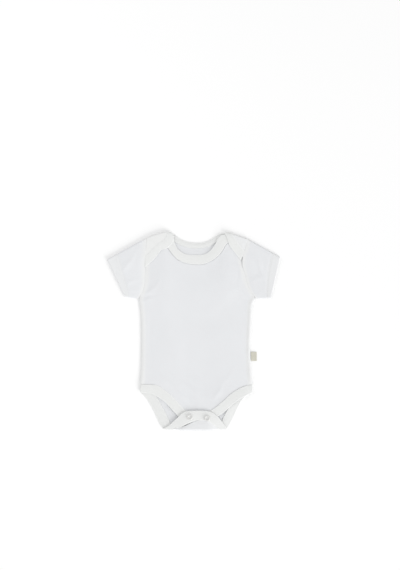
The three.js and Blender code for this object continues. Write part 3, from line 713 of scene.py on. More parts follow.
def knit_material(name, light, dark, over, wale, course, depth, nap):
    """Knitted cotton. over is its colour where it lies double, and on the rib also a painted
    highlight along the bindings' edges; wale and course are the loop's width and height in millimetres."""
    material, tree, shader = new_finish(name)
    uv = add_node(tree, "ShaderNodeUVMap", uv_map="cloth")
    parts = add_node(tree, "ShaderNodeSeparateXYZ")
    tree.links.new(uv.outputs["UV"], parts.inputs["Vector"])
    turns = 2 * math.pi
    column = maths(tree, "SINE", maths(tree, "MULTIPLY", parts.outputs["X"], turns / wale))
    lean = maths(tree, "MULTIPLY", maths(tree, "ABSOLUTE", column), LOOP_LEAN)
    level = maths(tree, "MULTIPLY", parts.outputs["Y"], turns / course)
    loop = maths(tree, "SINE", maths(tree, "ADD", level, lean))
    relief = maths(tree, "ADD", column, maths(tree, "MULTIPLY", loop, LOOP_SHARE))
    fuzz = noise(tree, FUZZ_SCALE, 3)
    relief = maths(tree, "ADD", relief, maths(tree, "MULTIPLY", fuzz, nap))
    emboss(tree, shader, relief, RELIEF_STRENGTH, depth)
    wash = maths(tree, "MULTIPLY", noise(tree, WASH_SCALE, 2), WASH_SHARE)
    blotch = maths(tree, "ADD", wash, maths(tree, "MULTIPLY", fuzz, FUZZ_SHARE))
    # Random wash and fuzz tone, plus painted shade that darkens the low parts of the loops.
    tone_and_loop_shade = maths(tree, "ADD", blotch, maths(tree, "MULTIPLY", relief, RELIEF_SHADE_SHARE))
    # This attribute mixes in the over colour: the tone of doubled cloth, and painted light on the rib
    # bindings' edges and on the shoulder laps.
    layers = add_node(tree, "ShaderNodeAttribute", attribute_name="doubled_or_painted_light")
    single = colour_between(tree, tone_and_loop_shade, light, dark)
    coloured = colour_between(tree, layers.outputs["Fac"], over, single)
    tree.links.new(coloured, shader.inputs["Base Color"])
    roughen(tree, shader, fuzz, KNIT_ROUGH, KNIT_ROUGH_CHANGE)
    for socket, value in KNIT_SHADER.items():
        shader.inputs[socket].default_value = value
    return material


cotton, rib, tape = [knit_material(name, **facts) for name, facts in KNITS.items()]
print("knits", cotton.name, rib.name, tape.name)

# %% Make the thread and the metal
GRAIN_ROUGH_CHANGE = 0.12
GRAIN_STRENGTH, GRAIN_DEPTH = 0.3, 0.03
PLAIN = {
    "sewing_thread": {
        "light": (0.84, 0.845, 0.84), "dark": (0.74, 0.745, 0.74),
        "scale": 2500, "roughness": 0.6, "metallic": 0.0,
    },
    "satin_metal": {
        "light": (0.81, 0.81, 0.795), "dark": (0.73, 0.73, 0.715),
        "scale": 900, "roughness": 0.44, "metallic": 0.35,
    },
}


def plain_material(name, light, dark, scale, roughness, metallic):
    """A finish whose colour and roughness vary a little on the piece."""
    material, tree, shader = new_finish(name)
    grain = noise(tree, scale, 4)
    tree.links.new(colour_between(tree, grain, light, dark), shader.inputs["Base Color"])
    roughen(tree, shader, grain, roughness, GRAIN_ROUGH_CHANGE)
    emboss(tree, shader, grain, GRAIN_STRENGTH, GRAIN_DEPTH)
    shader.inputs["Metallic"].default_value = metallic
    return material


thread, satin_metal = [plain_material(name, **facts) for name, facts in PLAIN.items()]
print("trims", thread.name, satin_metal.name)

# %% [markdown]
# ## The front
#
# One cut of cloth from the crotch to the shoulders. It lies on the back, a little lofted because
# the side seams and the leg seams under it hold it up, and it dips into the ditch of each seam.
# The grid is stretched between the two side seams, the leg curve and the neckline.

# %% Stretch the front over its four edges
CROWN, CROWN_LEFT, CROWN_RIGHT, CROWN_ARM, CROWN_LEG, CROWN_NECK = 0.7, 6, 3.5, 30, 26, 60
SWELL, SWELL_WAVE = 0.1, 46
CREASES_GROW = 3
SEAM_RIDGES = {"left": (0.55, 4.0, 2.6), "right": (1.6, 1.8, 3.6)}
RIDGE_FOOT, RIDGE_END = 1.6, 9
RIDGE_CHANGE, RIDGE_WAVE = 0.2, 31
ALLOWANCE, ALLOWANCE_SOFT, ALLOWANCE_SHOWS = 5.0, 6.0, 0.75
FRONT_CELLS = 110
ROW_STEPS = 8
DITCH, DITCH_WIDTH = 0.1, 1.5
ARM_START, ARM_BLEND = 48, 16


def side_points(rows, last, height, steps=ROW_STEPS):
    """A side seam as points, with the named column as their height."""
    edge = {"x": rows["x"], "y": rows["y"], "z": rows[height]}
    return points(spread(part_of(edge, 0, last), last * steps))


def edge_distance(middle):
    """Roughly how far each point of a grid is from its left, right, first and last edges."""
    x, y = middle[..., 0], middle[..., 1]
    return x - x[:, :1], x[:, -1:] - x, y - y[:1], y[-1:] - y


front_leg = along(FRONT_LEG, FRONT_CELLS)
front_neck = along(FRONT_NECK, FRONT_CELLS)
front_middle = patch(
    points(front_leg),
    points(front_neck),
    side_points(LEFT_SIDE, FRONT_TOP_ROW, "front"),
    side_points(RIGHT_SIDE, FRONT_TOP_ROW, "front"),
)
x, y = front_middle[..., 0], front_middle[..., 1]
left, right, low, high = edge_distance(front_middle)
by_arm = ease((y - ARM_START) / ARM_BLEND)
edges = [
    mix(ease(left / CROWN_LEFT), ease(left / CROWN_ARM), by_arm),
    mix(ease(right / CROWN_RIGHT), ease(right / CROWN_ARM), by_arm),
    ease(low / CROWN_LEG),
    ease(high / CROWN_NECK),
]
share = edges[0] * edges[1] * edges[2] * edges[3]
off_edge = ease(edges[0] * edges[1] * edges[2] * CREASES_GROW)
off_edge = off_edge * np.minimum(1, edges[3] * CREASES_GROW)
front_middle[..., 2] += CROWN * share + crease_height(CREASES, x, y) * off_edge
front_middle[..., 2] += SWELL * share * ripple(x, y, SWELL_WAVE, 3)
for side_name, distance in (("left", left), ("right", right)):
    height, at, width = SEAM_RIDGES[side_name]
    ridge = bell(distance - at, width) * ease(distance / RIDGE_FOOT)
    ridge = ridge * ease(low / RIDGE_END) * ease(high / RIDGE_END)
    uneven = 1 + RIDGE_CHANGE * ripple(x, y, RIDGE_WAVE, 8)
    front_middle[..., 2] += height * ridge * (1 - by_arm) * uneven
nearest = np.minimum(np.minimum(left, right), np.minimum(low, high))
front_face = CLOTH / 2 - DITCH * bell(nearest, DITCH_WIDTH)
from_side = np.minimum(left, right)
front_doubled = ALLOWANCE_SHOWS * (1 - ease((from_side - ALLOWANCE) / ALLOWANCE_SOFT))
front = cloth_piece("front", [
    sheet_grid(front_middle, front=front_face, uv=front_middle[..., :2], doubled_or_painted_light=front_doubled),
], cotton, CUT_RIM)

# %% [markdown]
# ## The back
#
# One cut too, but it goes round three folds: at each shoulder it comes over to the front as a
# lap, so that the neck opens wide for the head, and at the crotch it comes up over the front as
# the flap with the snaps. Four grids share their edges at the folds and make one mesh. Its
# underside stays flat where it rests.

# %% Stretch the back and turn its laps and flap over
LEG_CELLS, CROTCH_CELLS = 33, 42
LEFT_LAP_CELLS, NECK_CELLS, RIGHT_LAP_CELLS = 27, 63, 18
FOLD_STEPS = 10
LAP_STEPS = 14
LAP_OVER = 0.9
AWAY_CROTCH = np.array([0.0, -1.0])
FOLD_RISE, CORNER_REACH = 4.1, 20
FOLD_CALM = 4
SLITS = table("x depth reach", [[-14.0, 1.75, 8.0], [1.0, 0.85, 13.0]])

back_leg_left, back_leg_right = along(BACK_LEG_LEFT, LEG_CELLS), along(BACK_LEG_RIGHT, LEG_CELLS)
back_neck = along(BACK_NECK, NECK_CELLS)
fold_left, fold_right = along(FOLD_LEFT, LEFT_LAP_CELLS), along(FOLD_RIGHT, RIGHT_LAP_CELLS)
lap_left, lap_right = spread(LAP_LEFT, LEFT_LAP_CELLS), spread(LAP_RIGHT, RIGHT_LAP_CELLS)
flap_edge = spread(part_of(FLAP, 1, count(FLAP) - 2), CROTCH_CELLS)
away_left = flat_normal(points(FOLD_LEFT)[0], points(FOLD_LEFT)[-1], 1)
away_right = flat_normal(points(FOLD_RIGHT)[0], points(FOLD_RIGHT)[-1], 1)


def first_replaced(rows, row):
    """The places of a table, the first one taken from another table's row."""
    out = {name: rows[name].copy() for name in ("x", "y")}
    for name in out:
        out[name][0] = row[name]
    return out


def folded_over(low, high, edge, away):
    """Rows from the lower side of a fold round it and on to the edge of what is folded over."""
    turned = roll(low, high, away, FOLD_STEPS)
    steps = np.linspace(0, 1, LAP_STEPS + 1)[1:, None, None]
    over = mix(high[None], edge[None], steps)
    over[..., 2] += crease_height(CREASES, over[..., 0], over[..., 1]) * ease(steps[..., 0] * FOLD_CALM)
    return np.concatenate([turned, over])


SNAPS = {"left": (-7.1, -155.2), "right": (24.4, -157.1)}
SNAP_LIFT, SNAP_REACH = 1.5, 6.8


def snap_lift(x, y):
    """How far the snaps push the flap up."""
    near = [bell(np.hypot(x - at[0], y - at[1]), SNAP_REACH) for at in SNAPS.values()]
    return SNAP_LIFT * np.maximum(*near)


flap_ends = points(FLAP)
crotch = mix(flap_ends[0], flap_ends[-1], np.linspace(0, 1, CROTCH_CELLS + 1)[:, None])
from_corner = np.minimum(crotch[:, 0] - crotch[0, 0], crotch[-1, 0] - crotch[:, 0])
crotch[:, 2] += FOLD_RISE * ease(from_corner / CORNER_REACH)
crotch_low = crotch.copy()
crotch_low[:, 2] = LOW
back_bottom = np.concatenate([
    points(back_leg_left, LOW),
    crotch_low[1:-1],
    points(back_leg_right, LOW),
])
back_top = np.concatenate([
    points(fold_left, LOW),
    points(back_neck, LOW)[1:-1],
    points(fold_right, LOW),
])
sides = []
for side_rows, corner_row in (
    (LEFT_SIDE, row_of(BACK_LEG_LEFT, 0)),
    (RIGHT_SIDE, row_of(BACK_LEG_RIGHT, -1)),
):
    moved = first_replaced(side_rows, corner_row)
    sides.append(points(spread(moved, (count(moved) - 1) * ROW_STEPS), LOW))
back_middle = patch(back_bottom, back_top, *sides)
print("back grid", back_middle.shape[:2])

# %% Give the back soft creases and make it one piece
BACK_CREASES = table("x y x2 y2 bend width height", [
    [-40, -110, -8, -60, 4.0, 6.0, 0.55],
    [52, -104, 20, -52, -4.0, 6.0, 0.5],
    [-46, 20, -30, 96, 4.0, 9.0, 0.4],
    [40, 10, 54, 88, -5.0, 9.0, 0.45],
    [-6, -30, 12, 40, 3.0, 12.0, 0.35],
    [-20, 104, 26, 100, 3.0, 7.0, 0.3],
])
LEG_CREASES = table("x y x2 y2 bend width height", [
    [-46.5, -138.0, -31.0, -156.5, 0.0, 2.0, 2.4],
    [-60.0, -112.0, -50.0, -132.0, 2.0, 4.0, 0.6],
])
LEG_LIFTS = table("x y reach height", [[62.0, -145.0, 16.0, 1.3]])
LEG_CREASE_START, LEG_LIFT_WIDTH = 4, 3
NECK_SWELL = {"height": 1.0, "x": 4, "y": 132, "half_x": 34, "half_y": 13}
CREASE_START, CREASE_EDGE = 8, 26


def leg_lift(x, y):
    """How far the edge of a back leg stands up from the surface."""
    height = np.zeros(np.shape(x))
    for k in range(count(LEG_LIFTS)):
        at = row_of(LEG_LIFTS, k)
        height += at["height"] * bell(np.hypot(x - at["x"], y - at["y"]), at["reach"])
    return height


x, y = back_middle[..., 0], back_middle[..., 1]
distances = edge_distance(back_middle)
from_leg = distances[2]
inside = np.prod([ease((distance - CREASE_START) / CREASE_EDGE) for distance in distances], axis=0)
back_middle[..., 2] += np.maximum(0, crease_height(BACK_CREASES, x, y)) * inside
leg_creases = np.maximum(0, crease_height(LEG_CREASES, x, y))
back_middle[..., 2] += leg_creases * ease(from_leg / LEG_CREASE_START)
back_middle[..., 2] += leg_lift(x, y) * bell(from_leg, LEG_LIFT_WIDTH)
swell_x = (x - NECK_SWELL["x"]) / NECK_SWELL["half_x"]
swell_y = (y - NECK_SWELL["y"]) / NECK_SWELL["half_y"]
back_middle[..., 2] += NECK_SWELL["height"] * np.exp(-swell_x ** 4 - swell_y ** 4)
lap_low_left = back_middle[-1, :LEFT_LAP_CELLS + 1]
lap_low_right = back_middle[-1, -RIGHT_LAP_CELLS - 1:]
flap_low = back_middle[0, LEG_CELLS:LEG_CELLS + CROTCH_CELLS + 1]
left_lap = folded_over(lap_low_left, points(fold_left), points(lap_left), away_left)
right_lap = folded_over(lap_low_right, points(fold_right), points(lap_right), away_right)
left_lap[1:, 0, 0] -= LAP_OVER
right_lap[1:, -1, 0] += LAP_OVER
cloth_edge = points(flap_edge)
for k in range(count(SLITS)):
    slit = row_of(SLITS, k)
    cloth_edge[:, 1] -= slit["depth"] * bell(cloth_edge[:, 0] - slit["x"], slit["reach"])
flap = folded_over(flap_low, crotch, cloth_edge, AWAY_CROTCH)[::-1]
upper = flap[:LAP_STEPS + 1]
upper[..., 2] += snap_lift(upper[..., 0], upper[..., 1])

# %% Join the four grids to one cloth
# Laps and flap take the lighter tone of doubled cloth. The left lap takes all of it and the right lap
# half: that difference is painted light, the right lap painted darker as if in shade.
DOUBLED_AND_LIT_LEFT_LAP, DOUBLED_AND_SHADED_RIGHT_LAP, DOUBLED_FLAP = 1.0, 0.5, 0.3


def beyond_fold(grid, fold_row, sign):
    """Flat places of a folded-over grid, continued from the fold as on the uncut cloth."""
    start = grid[fold_row, :, :2]
    run = run_of(grid.transpose(1, 0, 2)).T
    run = run if fold_row == 0 else run[-1:] - run
    return np.stack([np.repeat(start[None, :, 0], len(grid), 0), start[None, :, 1] + sign * run], -1)


back = cloth_piece("back", [
    sheet_grid(back_middle, uv=back_middle[..., :2]),
    sheet_grid(left_lap, uv=beyond_fold(left_lap, 0, 1), doubled_or_painted_light=DOUBLED_AND_LIT_LEFT_LAP),
    sheet_grid(right_lap, uv=beyond_fold(right_lap, 0, 1), doubled_or_painted_light=DOUBLED_AND_SHADED_RIGHT_LAP),
    sheet_grid(flap, uv=beyond_fold(flap, -1, -1), doubled_or_painted_light=DOUBLED_FLAP),
], cotton, CUT_RIM)

# %% [markdown]
# ## The bindings
#
# A strip of rib folded double over each raw edge, as wide as the photograph shows and a little
# thicker than the cloth. Each is a grid whose rows cross the strip. The strip is fullest in its
# middle, thinner at its free edge, and pressed down along the two rows of topstitching. It
# puckers a little between stitches, as a stretched rib does.

# %% Cross the strip at every station
SEAM, TUCK = 0.06, -0.45
LAP_DROOP, LAP_END = 0.5, 8
LEG_STANDS_UP = 1.1
FOLD_EASE = 1.9
STRIP_CELLS = 12
ACROSS = np.linspace(0, 1, STRIP_CELLS + 1)
STITCH_ROWS = (0.14, 0.86)
GROOVE, GROOVE_WIDTH = 0.22, 0.06
PUCKER, PUCKER_LENGTH, PUCKER_DRIFT, DRIFT_LENGTH = 0.13, 6.5, 1.7, 11
CREASE_SHARE = 0.7
PROUD = (RIB - CLOTH) / 2
# Width of the painted highlight: both edges of each rib binding are painted lighter, as if catching
# light.
EDGE_HIGHLIGHT_WIDTH = 0.12


def away_at(line, k, side):
    """Which way is square out of a line of points at one of them."""
    return flat_normal(line[max(0, k - 1)], line[min(len(line) - 1, k + 1)], side)


def corner(a, b):
    """The way out where two edges meet, lengthened to keep the seam of both."""
    return (a + b) / (1 + a @ b)


def strip(rows, side, lift=0.0, corners=None, seam=SEAM, droop=0.0):
    """Grids of a binding: a row of points across it at every station, and its thickness.
    A negative seam takes the binding over the cloth's edge. droop lowers the free edge, and a
    negative one lifts it."""
    line = points(rows, 0)
    out = np.stack([rows["outX"], rows["outY"]], -1)
    ways = np.array([away_at(line, k, side) for k in range(len(line))])
    for k, way in (corners or {}).items():
        ways[k] = way
    s = ACROSS[None, :]
    run = run_of(line[None])[0][:, None]
    thick = mix(RIB, RIB_EDGE, np.clip(2 * s - 1, 0, 1)) + 0 * run
    for at in STITCH_ROWS:
        thick = thick - GROOVE * bell(s - at, GROOVE_WIDTH)
    drift = PUCKER_DRIFT * np.sin(run / DRIFT_LENGTH)
    pucker = np.sin(run * 2 * math.pi / PUCKER_LENGTH + drift) * np.sin(math.pi * s)
    thick = thick + PUCKER * pucker
    middle = np.zeros((len(line), len(ACROSS), 3))
    middle[..., :2] = mix(line[:, None, :2], out[:, None], s[..., None])
    middle[..., :2] += ways[:, None] * (seam * np.clip(1 - 2 * s, 0, 1))[..., None]
    x, y = middle[..., 0], middle[..., 1]
    if "z" in rows:
        middle[..., 2] = (rows["z"] + lift)[:, None] + snap_lift(x, y)
        middle[..., 2] += CREASE_SHARE * crease_height(CREASES, x, y) - droop * s
    else:
        middle[..., 2] = thick / 2 + leg_lift(x, y) * (1 - s)
    return middle, thick


def joined(parts):
    """One strip from parts (points, thickness), leaving out the row that two parts share."""
    middle = np.concatenate([p[0] if k == 0 else p[0][1:] for k, p in enumerate(parts)])
    thick = np.concatenate([p[1] if k == 0 else p[1][1:] for k, p in enumerate(parts)])
    return middle, thick


def round_fold(low, high, away):
    """The part of a strip that turns round a fold of the cloth."""
    middle = roll(low[0], high[0], away, FOLD_STEPS)
    turn = np.linspace(0, 1, FOLD_STEPS + 1)[:, None]
    return middle, mix(low[1][None], high[1][None], turn)


def back_to_front(part):
    return part[0][::-1], part[1][::-1]


def end_of(part, k):
    return part[0][k], part[1][k]


def rib_map(middle):
    """Flat places on a strip: the rib's columns cross it, so they are spaced along it."""
    along_strip = run_of(middle.transpose(1, 0, 2)).mean(axis=0)[:, None]
    across_strip = run_of(middle)
    return np.stack([along_strip + 0 * across_strip, across_strip], -1)


def binding(name, strip_parts):
    """The strip as a piece of rib, with its grid of points and its thickness."""
    middle, thick = joined(strip_parts)
    # Both edges of the strip take the rib's lighter over colour, a painted highlight.
    edges = bell(ACROSS, EDGE_HIGHLIGHT_WIDTH) + bell(1 - ACROSS, EDGE_HIGHLIGHT_WIDTH)
    sheet = sheet_grid(middle, front=thick / 2, back=thick / 2, uv=rib_map(middle), doubled_or_painted_light=edges[None])
    piece = cloth_piece(name, [sheet], rib, FOLDED_RIM)
    return piece, middle, thick


# %% Bind the front's neckline and legs
NECK_SEAM = 0.35
LEFT_LEG, RIGHT_LEG = (-76, -62, -16, -6), (56, 70, 91, 107)


def within(x, start, full, fading, end):
    """1 between full and fading, falling softly to 0 at start and at end."""
    return ease((x - start) / (full - start)) * ease((end - x) / (end - fading))


front_neck_part = strip(front_neck, 1, PROUD, seam=NECK_SEAM)
left_leg, right_leg = within(front_leg["x"], *LEFT_LEG), within(front_leg["x"], *RIGHT_LEG)
front_leg_part = strip(
    front_leg, -1, PROUD,
    seam=mix(SEAM, TUCK, left_leg)[:, None],
    droop=-LEG_STANDS_UP * right_leg[:, None],
)
neck_front, neck_front_line, neck_front_thick = binding("neck_binding_of_front", [front_neck_part])
leg_front, leg_front_line, leg_front_thick = binding("leg_binding_of_front", [front_leg_part])

# %% Bind the back's neckline, round both shoulder folds
neck_line = points(back_neck, 0)
left_end_row = {**row_of(BACK_NECK, 0), "z": LAP_LEFT["z"][-1]}
right_end_row = {**row_of(BACK_NECK, -1), "z": LAP_RIGHT["z"][0]}
left_rows = {k: np.append(lap_left[k], left_end_row[k]) for k in lap_left}
right_rows = {k: np.append(right_end_row[k], lap_right[k]) for k in lap_right}
left_line, right_line = points(left_rows, 0), points(right_rows, 0)
left_end = len(left_line) - 1
left_way = corner(away_at(neck_line, 0, 1), away_at(left_line, left_end, -1)) * FOLD_EASE
right_way = corner(away_at(neck_line, NECK_CELLS, 1), away_at(right_line, 0, -1))
neck_part = strip(back_neck, 1, 0, {0: left_way, NECK_CELLS: right_way})
left_part = strip(left_rows, -1, 0, {left_end: left_way}, TUCK, LAP_DROOP)
right_part = strip(right_rows, -1, 0, {0: right_way}, TUCK, LAP_DROOP)
left_part[0][0, :, 0] -= LAP_OVER
right_part[0][-1, :LAP_END, 0] += LAP_OVER
neck_back, neck_back_line, neck_back_thick = binding("neck_binding_of_back", [
    left_part,
    back_to_front(round_fold(end_of(neck_part, 0), end_of(left_part, -1), away_left)),
    neck_part,
    round_fold(end_of(neck_part, -1), end_of(right_part, 0), away_right),
    right_part,
])

# %% Bind the back's legs, round the crotch fold and the flap
flap_rows = {k: np.concatenate([[FLAP[k][0]], flap_edge[k], [FLAP[k][-1]]]) for k in FLAP}
flap_line = points(flap_rows, 0)
flap_end = len(flap_line) - 1
leg_left_line, leg_right_line = points(back_leg_left, 0), points(back_leg_right, 0)
left_way = corner(away_at(leg_left_line, LEG_CELLS, -1), away_at(flap_line, 0, 1))
right_way = corner(away_at(leg_right_line, 0, -1), away_at(flap_line, flap_end, 1))
leg_left_part = strip(back_leg_left, -1, 0, {LEG_CELLS: left_way})
leg_right_part = strip(back_leg_right, -1, 0, {0: right_way})
flap_part = strip(flap_rows, 1, PROUD, {0: left_way, flap_end: right_way}, TUCK)
leg_back, leg_back_line, leg_back_thick = binding("leg_binding_of_back", [
    leg_left_part,
    round_fold(end_of(leg_left_part, -1), end_of(flap_part, 0), AWAY_CROTCH),
    flap_part,
    back_to_front(round_fold(end_of(leg_right_part, 0), end_of(flap_part, -1), AWAY_CROTCH)),
    leg_right_part,
])

# %% [markdown]
# ## The sleeves
#
# Each sleeve is one cut closed to a tube and pressed flat, with the cuff turned up inside. It is
# drawn as rings round both layers, from the armhole to the cuff, with more cloth inside where
# the hem is doubled.

# %% Draw the sleeves as flattened rings
HEM = 14
HEM_INSIDE = 1.2
CUFF_Z = 3.9
SLEEVE_CROWN = 0.5
SLEEVE_CELLS = 44
RING_STEPS = 6
SLEEVE_SEAM = -0.35
HEM_SHOWS, HEM_SHOWS_EARLY = 0.5, 0.075
HEM_STEP, HEM_SOFT = 0.012, 0.125
HEM_GROOVE, HEM_GROOVE_WIDTH = 0.18, 1.6
HEM_PRESS, HEM_PRESS_EARLY = 0.6, 0.1
PUFF_START, FOLD_START = 4, 6
SLEEVES = {
    "left": {"side": -1, "rows": LEFT_SIDE, "top": (-155.1, 126.9), "low": (-124.4, 63.1),
             "arm": (-99.3, 58.9), "top_away": (-0.478, 0.879), "low_away": (-0.138, -0.99)},
    "right": {"side": 1, "rows": RIGHT_SIDE, "top": (154.7, 130.7), "low": (138.7, 60.8),
              "arm": (110.9, 59.4), "top_away": (0.487, 0.873), "low_away": (0.03, -1.0)},
}


def side_fold(low, high, away):
    """The points round a folded side of the tube, a row for each ring, its ends left out."""
    return roll(low, high, away, FOLD_STEPS)[1:-1].transpose(1, 0, 2)


def sleeve(name, cut):
    """The sleeve as a piece, the points on its outside, where its rings lie, and its length."""
    rows = part_of(cut["rows"], UNDERARM_ROW, count(cut["rows"]) - 1)
    seam = {"x": rows["x"] + SLEEVE_SEAM * cut["side"], "y": rows["y"], "z": rows["sleeve"]}
    seam["x"][0], seam["y"][0] = cut["arm"]
    arm = points(spread(seam, (count(seam) - 1) * RING_STEPS))
    t = (arm[:, 1] - arm[0, 1]) / (arm[-1, 1] - arm[0, 1])
    cuff_xy = mix(np.array(cut["low"]), np.array(cut["top"]), t[:, None])
    cuff = np.concatenate([cuff_xy, np.full((len(arm), 1), CUFF_Z)], 1)
    centre = len(arm) // 2
    length = math.hypot(*(cuff[centre] - arm[centre])[:2])
    hem_start = 1 - HEM / length
    by_groove = [hem_start - HEM_STEP, hem_start + HEM_STEP]
    stations = np.sort(np.append(np.linspace(0, 1, SLEEVE_CELLS + 1), by_groove))
    s = stations[:, None]
    middle = mix(arm[None], cuff[None], s[..., None])
    t = np.linspace(0, 1, len(arm))[None]
    folds = crease_height(CREASES, middle[..., 0], middle[..., 1])
    puff = 4 * t * (1 - t) * (SLEEVE_CROWN * ease(s * PUFF_START) + folds * ease(s * FOLD_START))
    from_hem = s - hem_start
    middle[..., 2] += puff * (1 - HEM_PRESS * ease((from_hem + HEM_PRESS_EARLY) / HEM_SOFT))
    under = middle.copy()
    under[..., 2] = LOW
    top_turn = side_fold(under[:, -1], middle[:, -1], cut["top_away"])
    low_turn = side_fold(under[:, 0], middle[:, 0], cut["low_away"])
    ring = np.concatenate([under, top_turn, middle[:, ::-1], low_turn[:, ::-1], under[:, :1]], axis=1)
    every = np.ones(ring.shape[:2])
    inner = every * mix(CLOTH / 2, HEM_INSIDE, ease((from_hem + HEM_STEP) / (2 * HEM_STEP)))
    outer = CLOTH / 2 - HEM_GROOVE * bell(from_hem * length, HEM_GROOVE_WIDTH)
    outer = every * (outer - DITCH * bell(s * length, DITCH_WIDTH))
    way = cut["side"]
    front_side, back_side = (outer, inner) if way > 0 else (inner, outer)
    by_arm = 1 - ease((s * length - ALLOWANCE / 2) / ALLOWANCE_SOFT)
    by_hem = HEM_SHOWS * ease((from_hem + HEM_SHOWS_EARLY) / HEM_SOFT)
    doubled_or_painted_light = every * ALLOWANCE_SHOWS * np.maximum(by_arm, by_hem)
    sheet = sheet_grid(ring, front=front_side, back=back_side, doubled_or_painted_light=doubled_or_painted_light)
    piece = cloth_piece(name, [sheet], cotton, CUT_RIM)
    skin = ring + normals_of(ring) * outer[..., None] * way
    return piece, skin, stations, length


sleeve_left, skin_left, stations_left, length_left = sleeve("sleeve_of_left", SLEEVES["left"])
sleeve_right, skin_right, stations_right, length_right = sleeve("sleeve_of_right", SLEEVES["right"])
print("sleeve lengths", round(length_left, 1), round(length_right, 1), "mm")

# %% [markdown]
# ## Snaps and side tab
#
# A ring snap is four turned metal pieces: backing and stud on the front, socket and cap on the
# flap. Turning an outline round an axis makes each of them, and a small bevel takes the sharp
# edges off. The tab is a folded tape caught in the side seam, left bare.

# %% Turn the snaps
SNAP_STEPS = 48
BEVEL = 0.09
SNAP_PARTS = {
    "backing": (1.3, [(2.7, 0), (5.25, 0), (5.05, 0.6), (2.9, 0.6)]),
    "stud": (4.3, [(0.8, 0), (4.6, 0), (4.6, 0.5), (1.6, 0.5), (1.6, 1.6), (0.8, 1.6)]),
    "socket": (5.1, [(2.1, 0), (4.6, 0), (4.6, 1.0), (2.1, 1.0)]),
    "cap": (8.6, [(2.7, 0), (5.25, 0), (5.25, 0.35), (4.55, 0.75), (3.3, 0.75), (2.7, 0.35)]),
}


def turned(name, outline, x, y, z):
    """A ring turned from a closed outline of radius and height."""
    angles = np.arange(SNAP_STEPS) * 2 * math.pi / SNAP_STEPS
    verts = [(x + r * math.cos(a), y + r * math.sin(a), z + h) for a in angles for r, h in outline]
    n = len(outline)
    faces = []
    for step in range(SNAP_STEPS):
        after = (step + 1) % SNAP_STEPS
        for k in range(n):
            other = (k + 1) % n
            faces.append((step * n + k, after * n + k, after * n + other, step * n + other))
    ring = piece_of(name, verts, faces, satin_metal)
    bevel = ring.modifiers.new("bevel", "BEVEL")
    bevel.width = BEVEL * MM
    bevel.segments = 2
    bevel.limit_method = "ANGLE"
    bevel.harden_normals = True
    return ring


for side_name, (snap_x, snap_y) in SNAPS.items():
    for part_name, (part_z, outline) in SNAP_PARTS.items():
        ring = turned(f"ring_{side_name}_{part_name}", outline, snap_x, snap_y, part_z)
        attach(ring, "root")
        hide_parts(f"snap_{side_name}_{part_name}")

# %% Fold the side tab
TAB_INNER, TAB_OUTER, TAB_LOW, TAB_HIGH = 103.0, 113.4, -54.3, -38.1
TAB_DROOP = [(0, 1.3), (0.35, 1.15), (0.7, 0.7), (1, 0.5)]
TAB_THICKNESS = 1.0
TAB_CELLS_OUT, TAB_CELLS_ALONG = 12, 16
TAB_WAVE, TAB_WAVES = 0.06, 0.5

shares = np.linspace(0, 1, TAB_CELLS_OUT + 1)[:, None]
along_tab = np.linspace(TAB_LOW, TAB_HIGH, TAB_CELLS_ALONG + 1)[None]
tab_middle = np.stack([
    mix(TAB_INNER, TAB_OUTER, shares) + 0 * along_tab,
    along_tab + 0 * shares,
    np.interp(shares, *zip(*TAB_DROOP)) + TAB_WAVE * np.sin(along_tab * TAB_WAVES + shares),
], -1)
tab_sheet = sheet_grid(tab_middle, front=TAB_THICKNESS / 2, back=TAB_THICKNESS / 2)
tab = cloth_piece("seam_tab", [tab_sheet], tape, FOLDED_RIM)

# %% [markdown]
# ## Topstitching
#
# The bindings and hems are held by rows of thread. One stitch is a short bowed thread whose ends
# sink into the cloth. Hundreds of them follow each row, so Geometry Nodes place them: the row is
# a line of edges, resampled at the stitch length, with one stitch on each point, turned along
# the line. The result becomes a plain mesh.

# %% Build the tree that lays stitches on a line
STITCH_PITCH = 2.8
STITCH_SHARE = 0.74
THREAD = 0.2
THREAD_SUNK, THREAD_RAISED = -0.8, 1.4
THREAD_CELLS, THREAD_SIDES = 4, 5
STITCH_INPUTS = (
    ("Line", "NodeSocketGeometry", None),
    ("Pitch", "NodeSocketFloat", STITCH_PITCH * MM),
    ("Length", "NodeSocketFloat", STITCH_PITCH * STITCH_SHARE * MM),
    ("Thread radius", "NodeSocketFloat", THREAD * MM),
    ("Unevenness", "NodeSocketFloat", 0.12),
    ("Seed", "NodeSocketInt", 1),
    ("Thread", "NodeSocketMaterial", None),
)


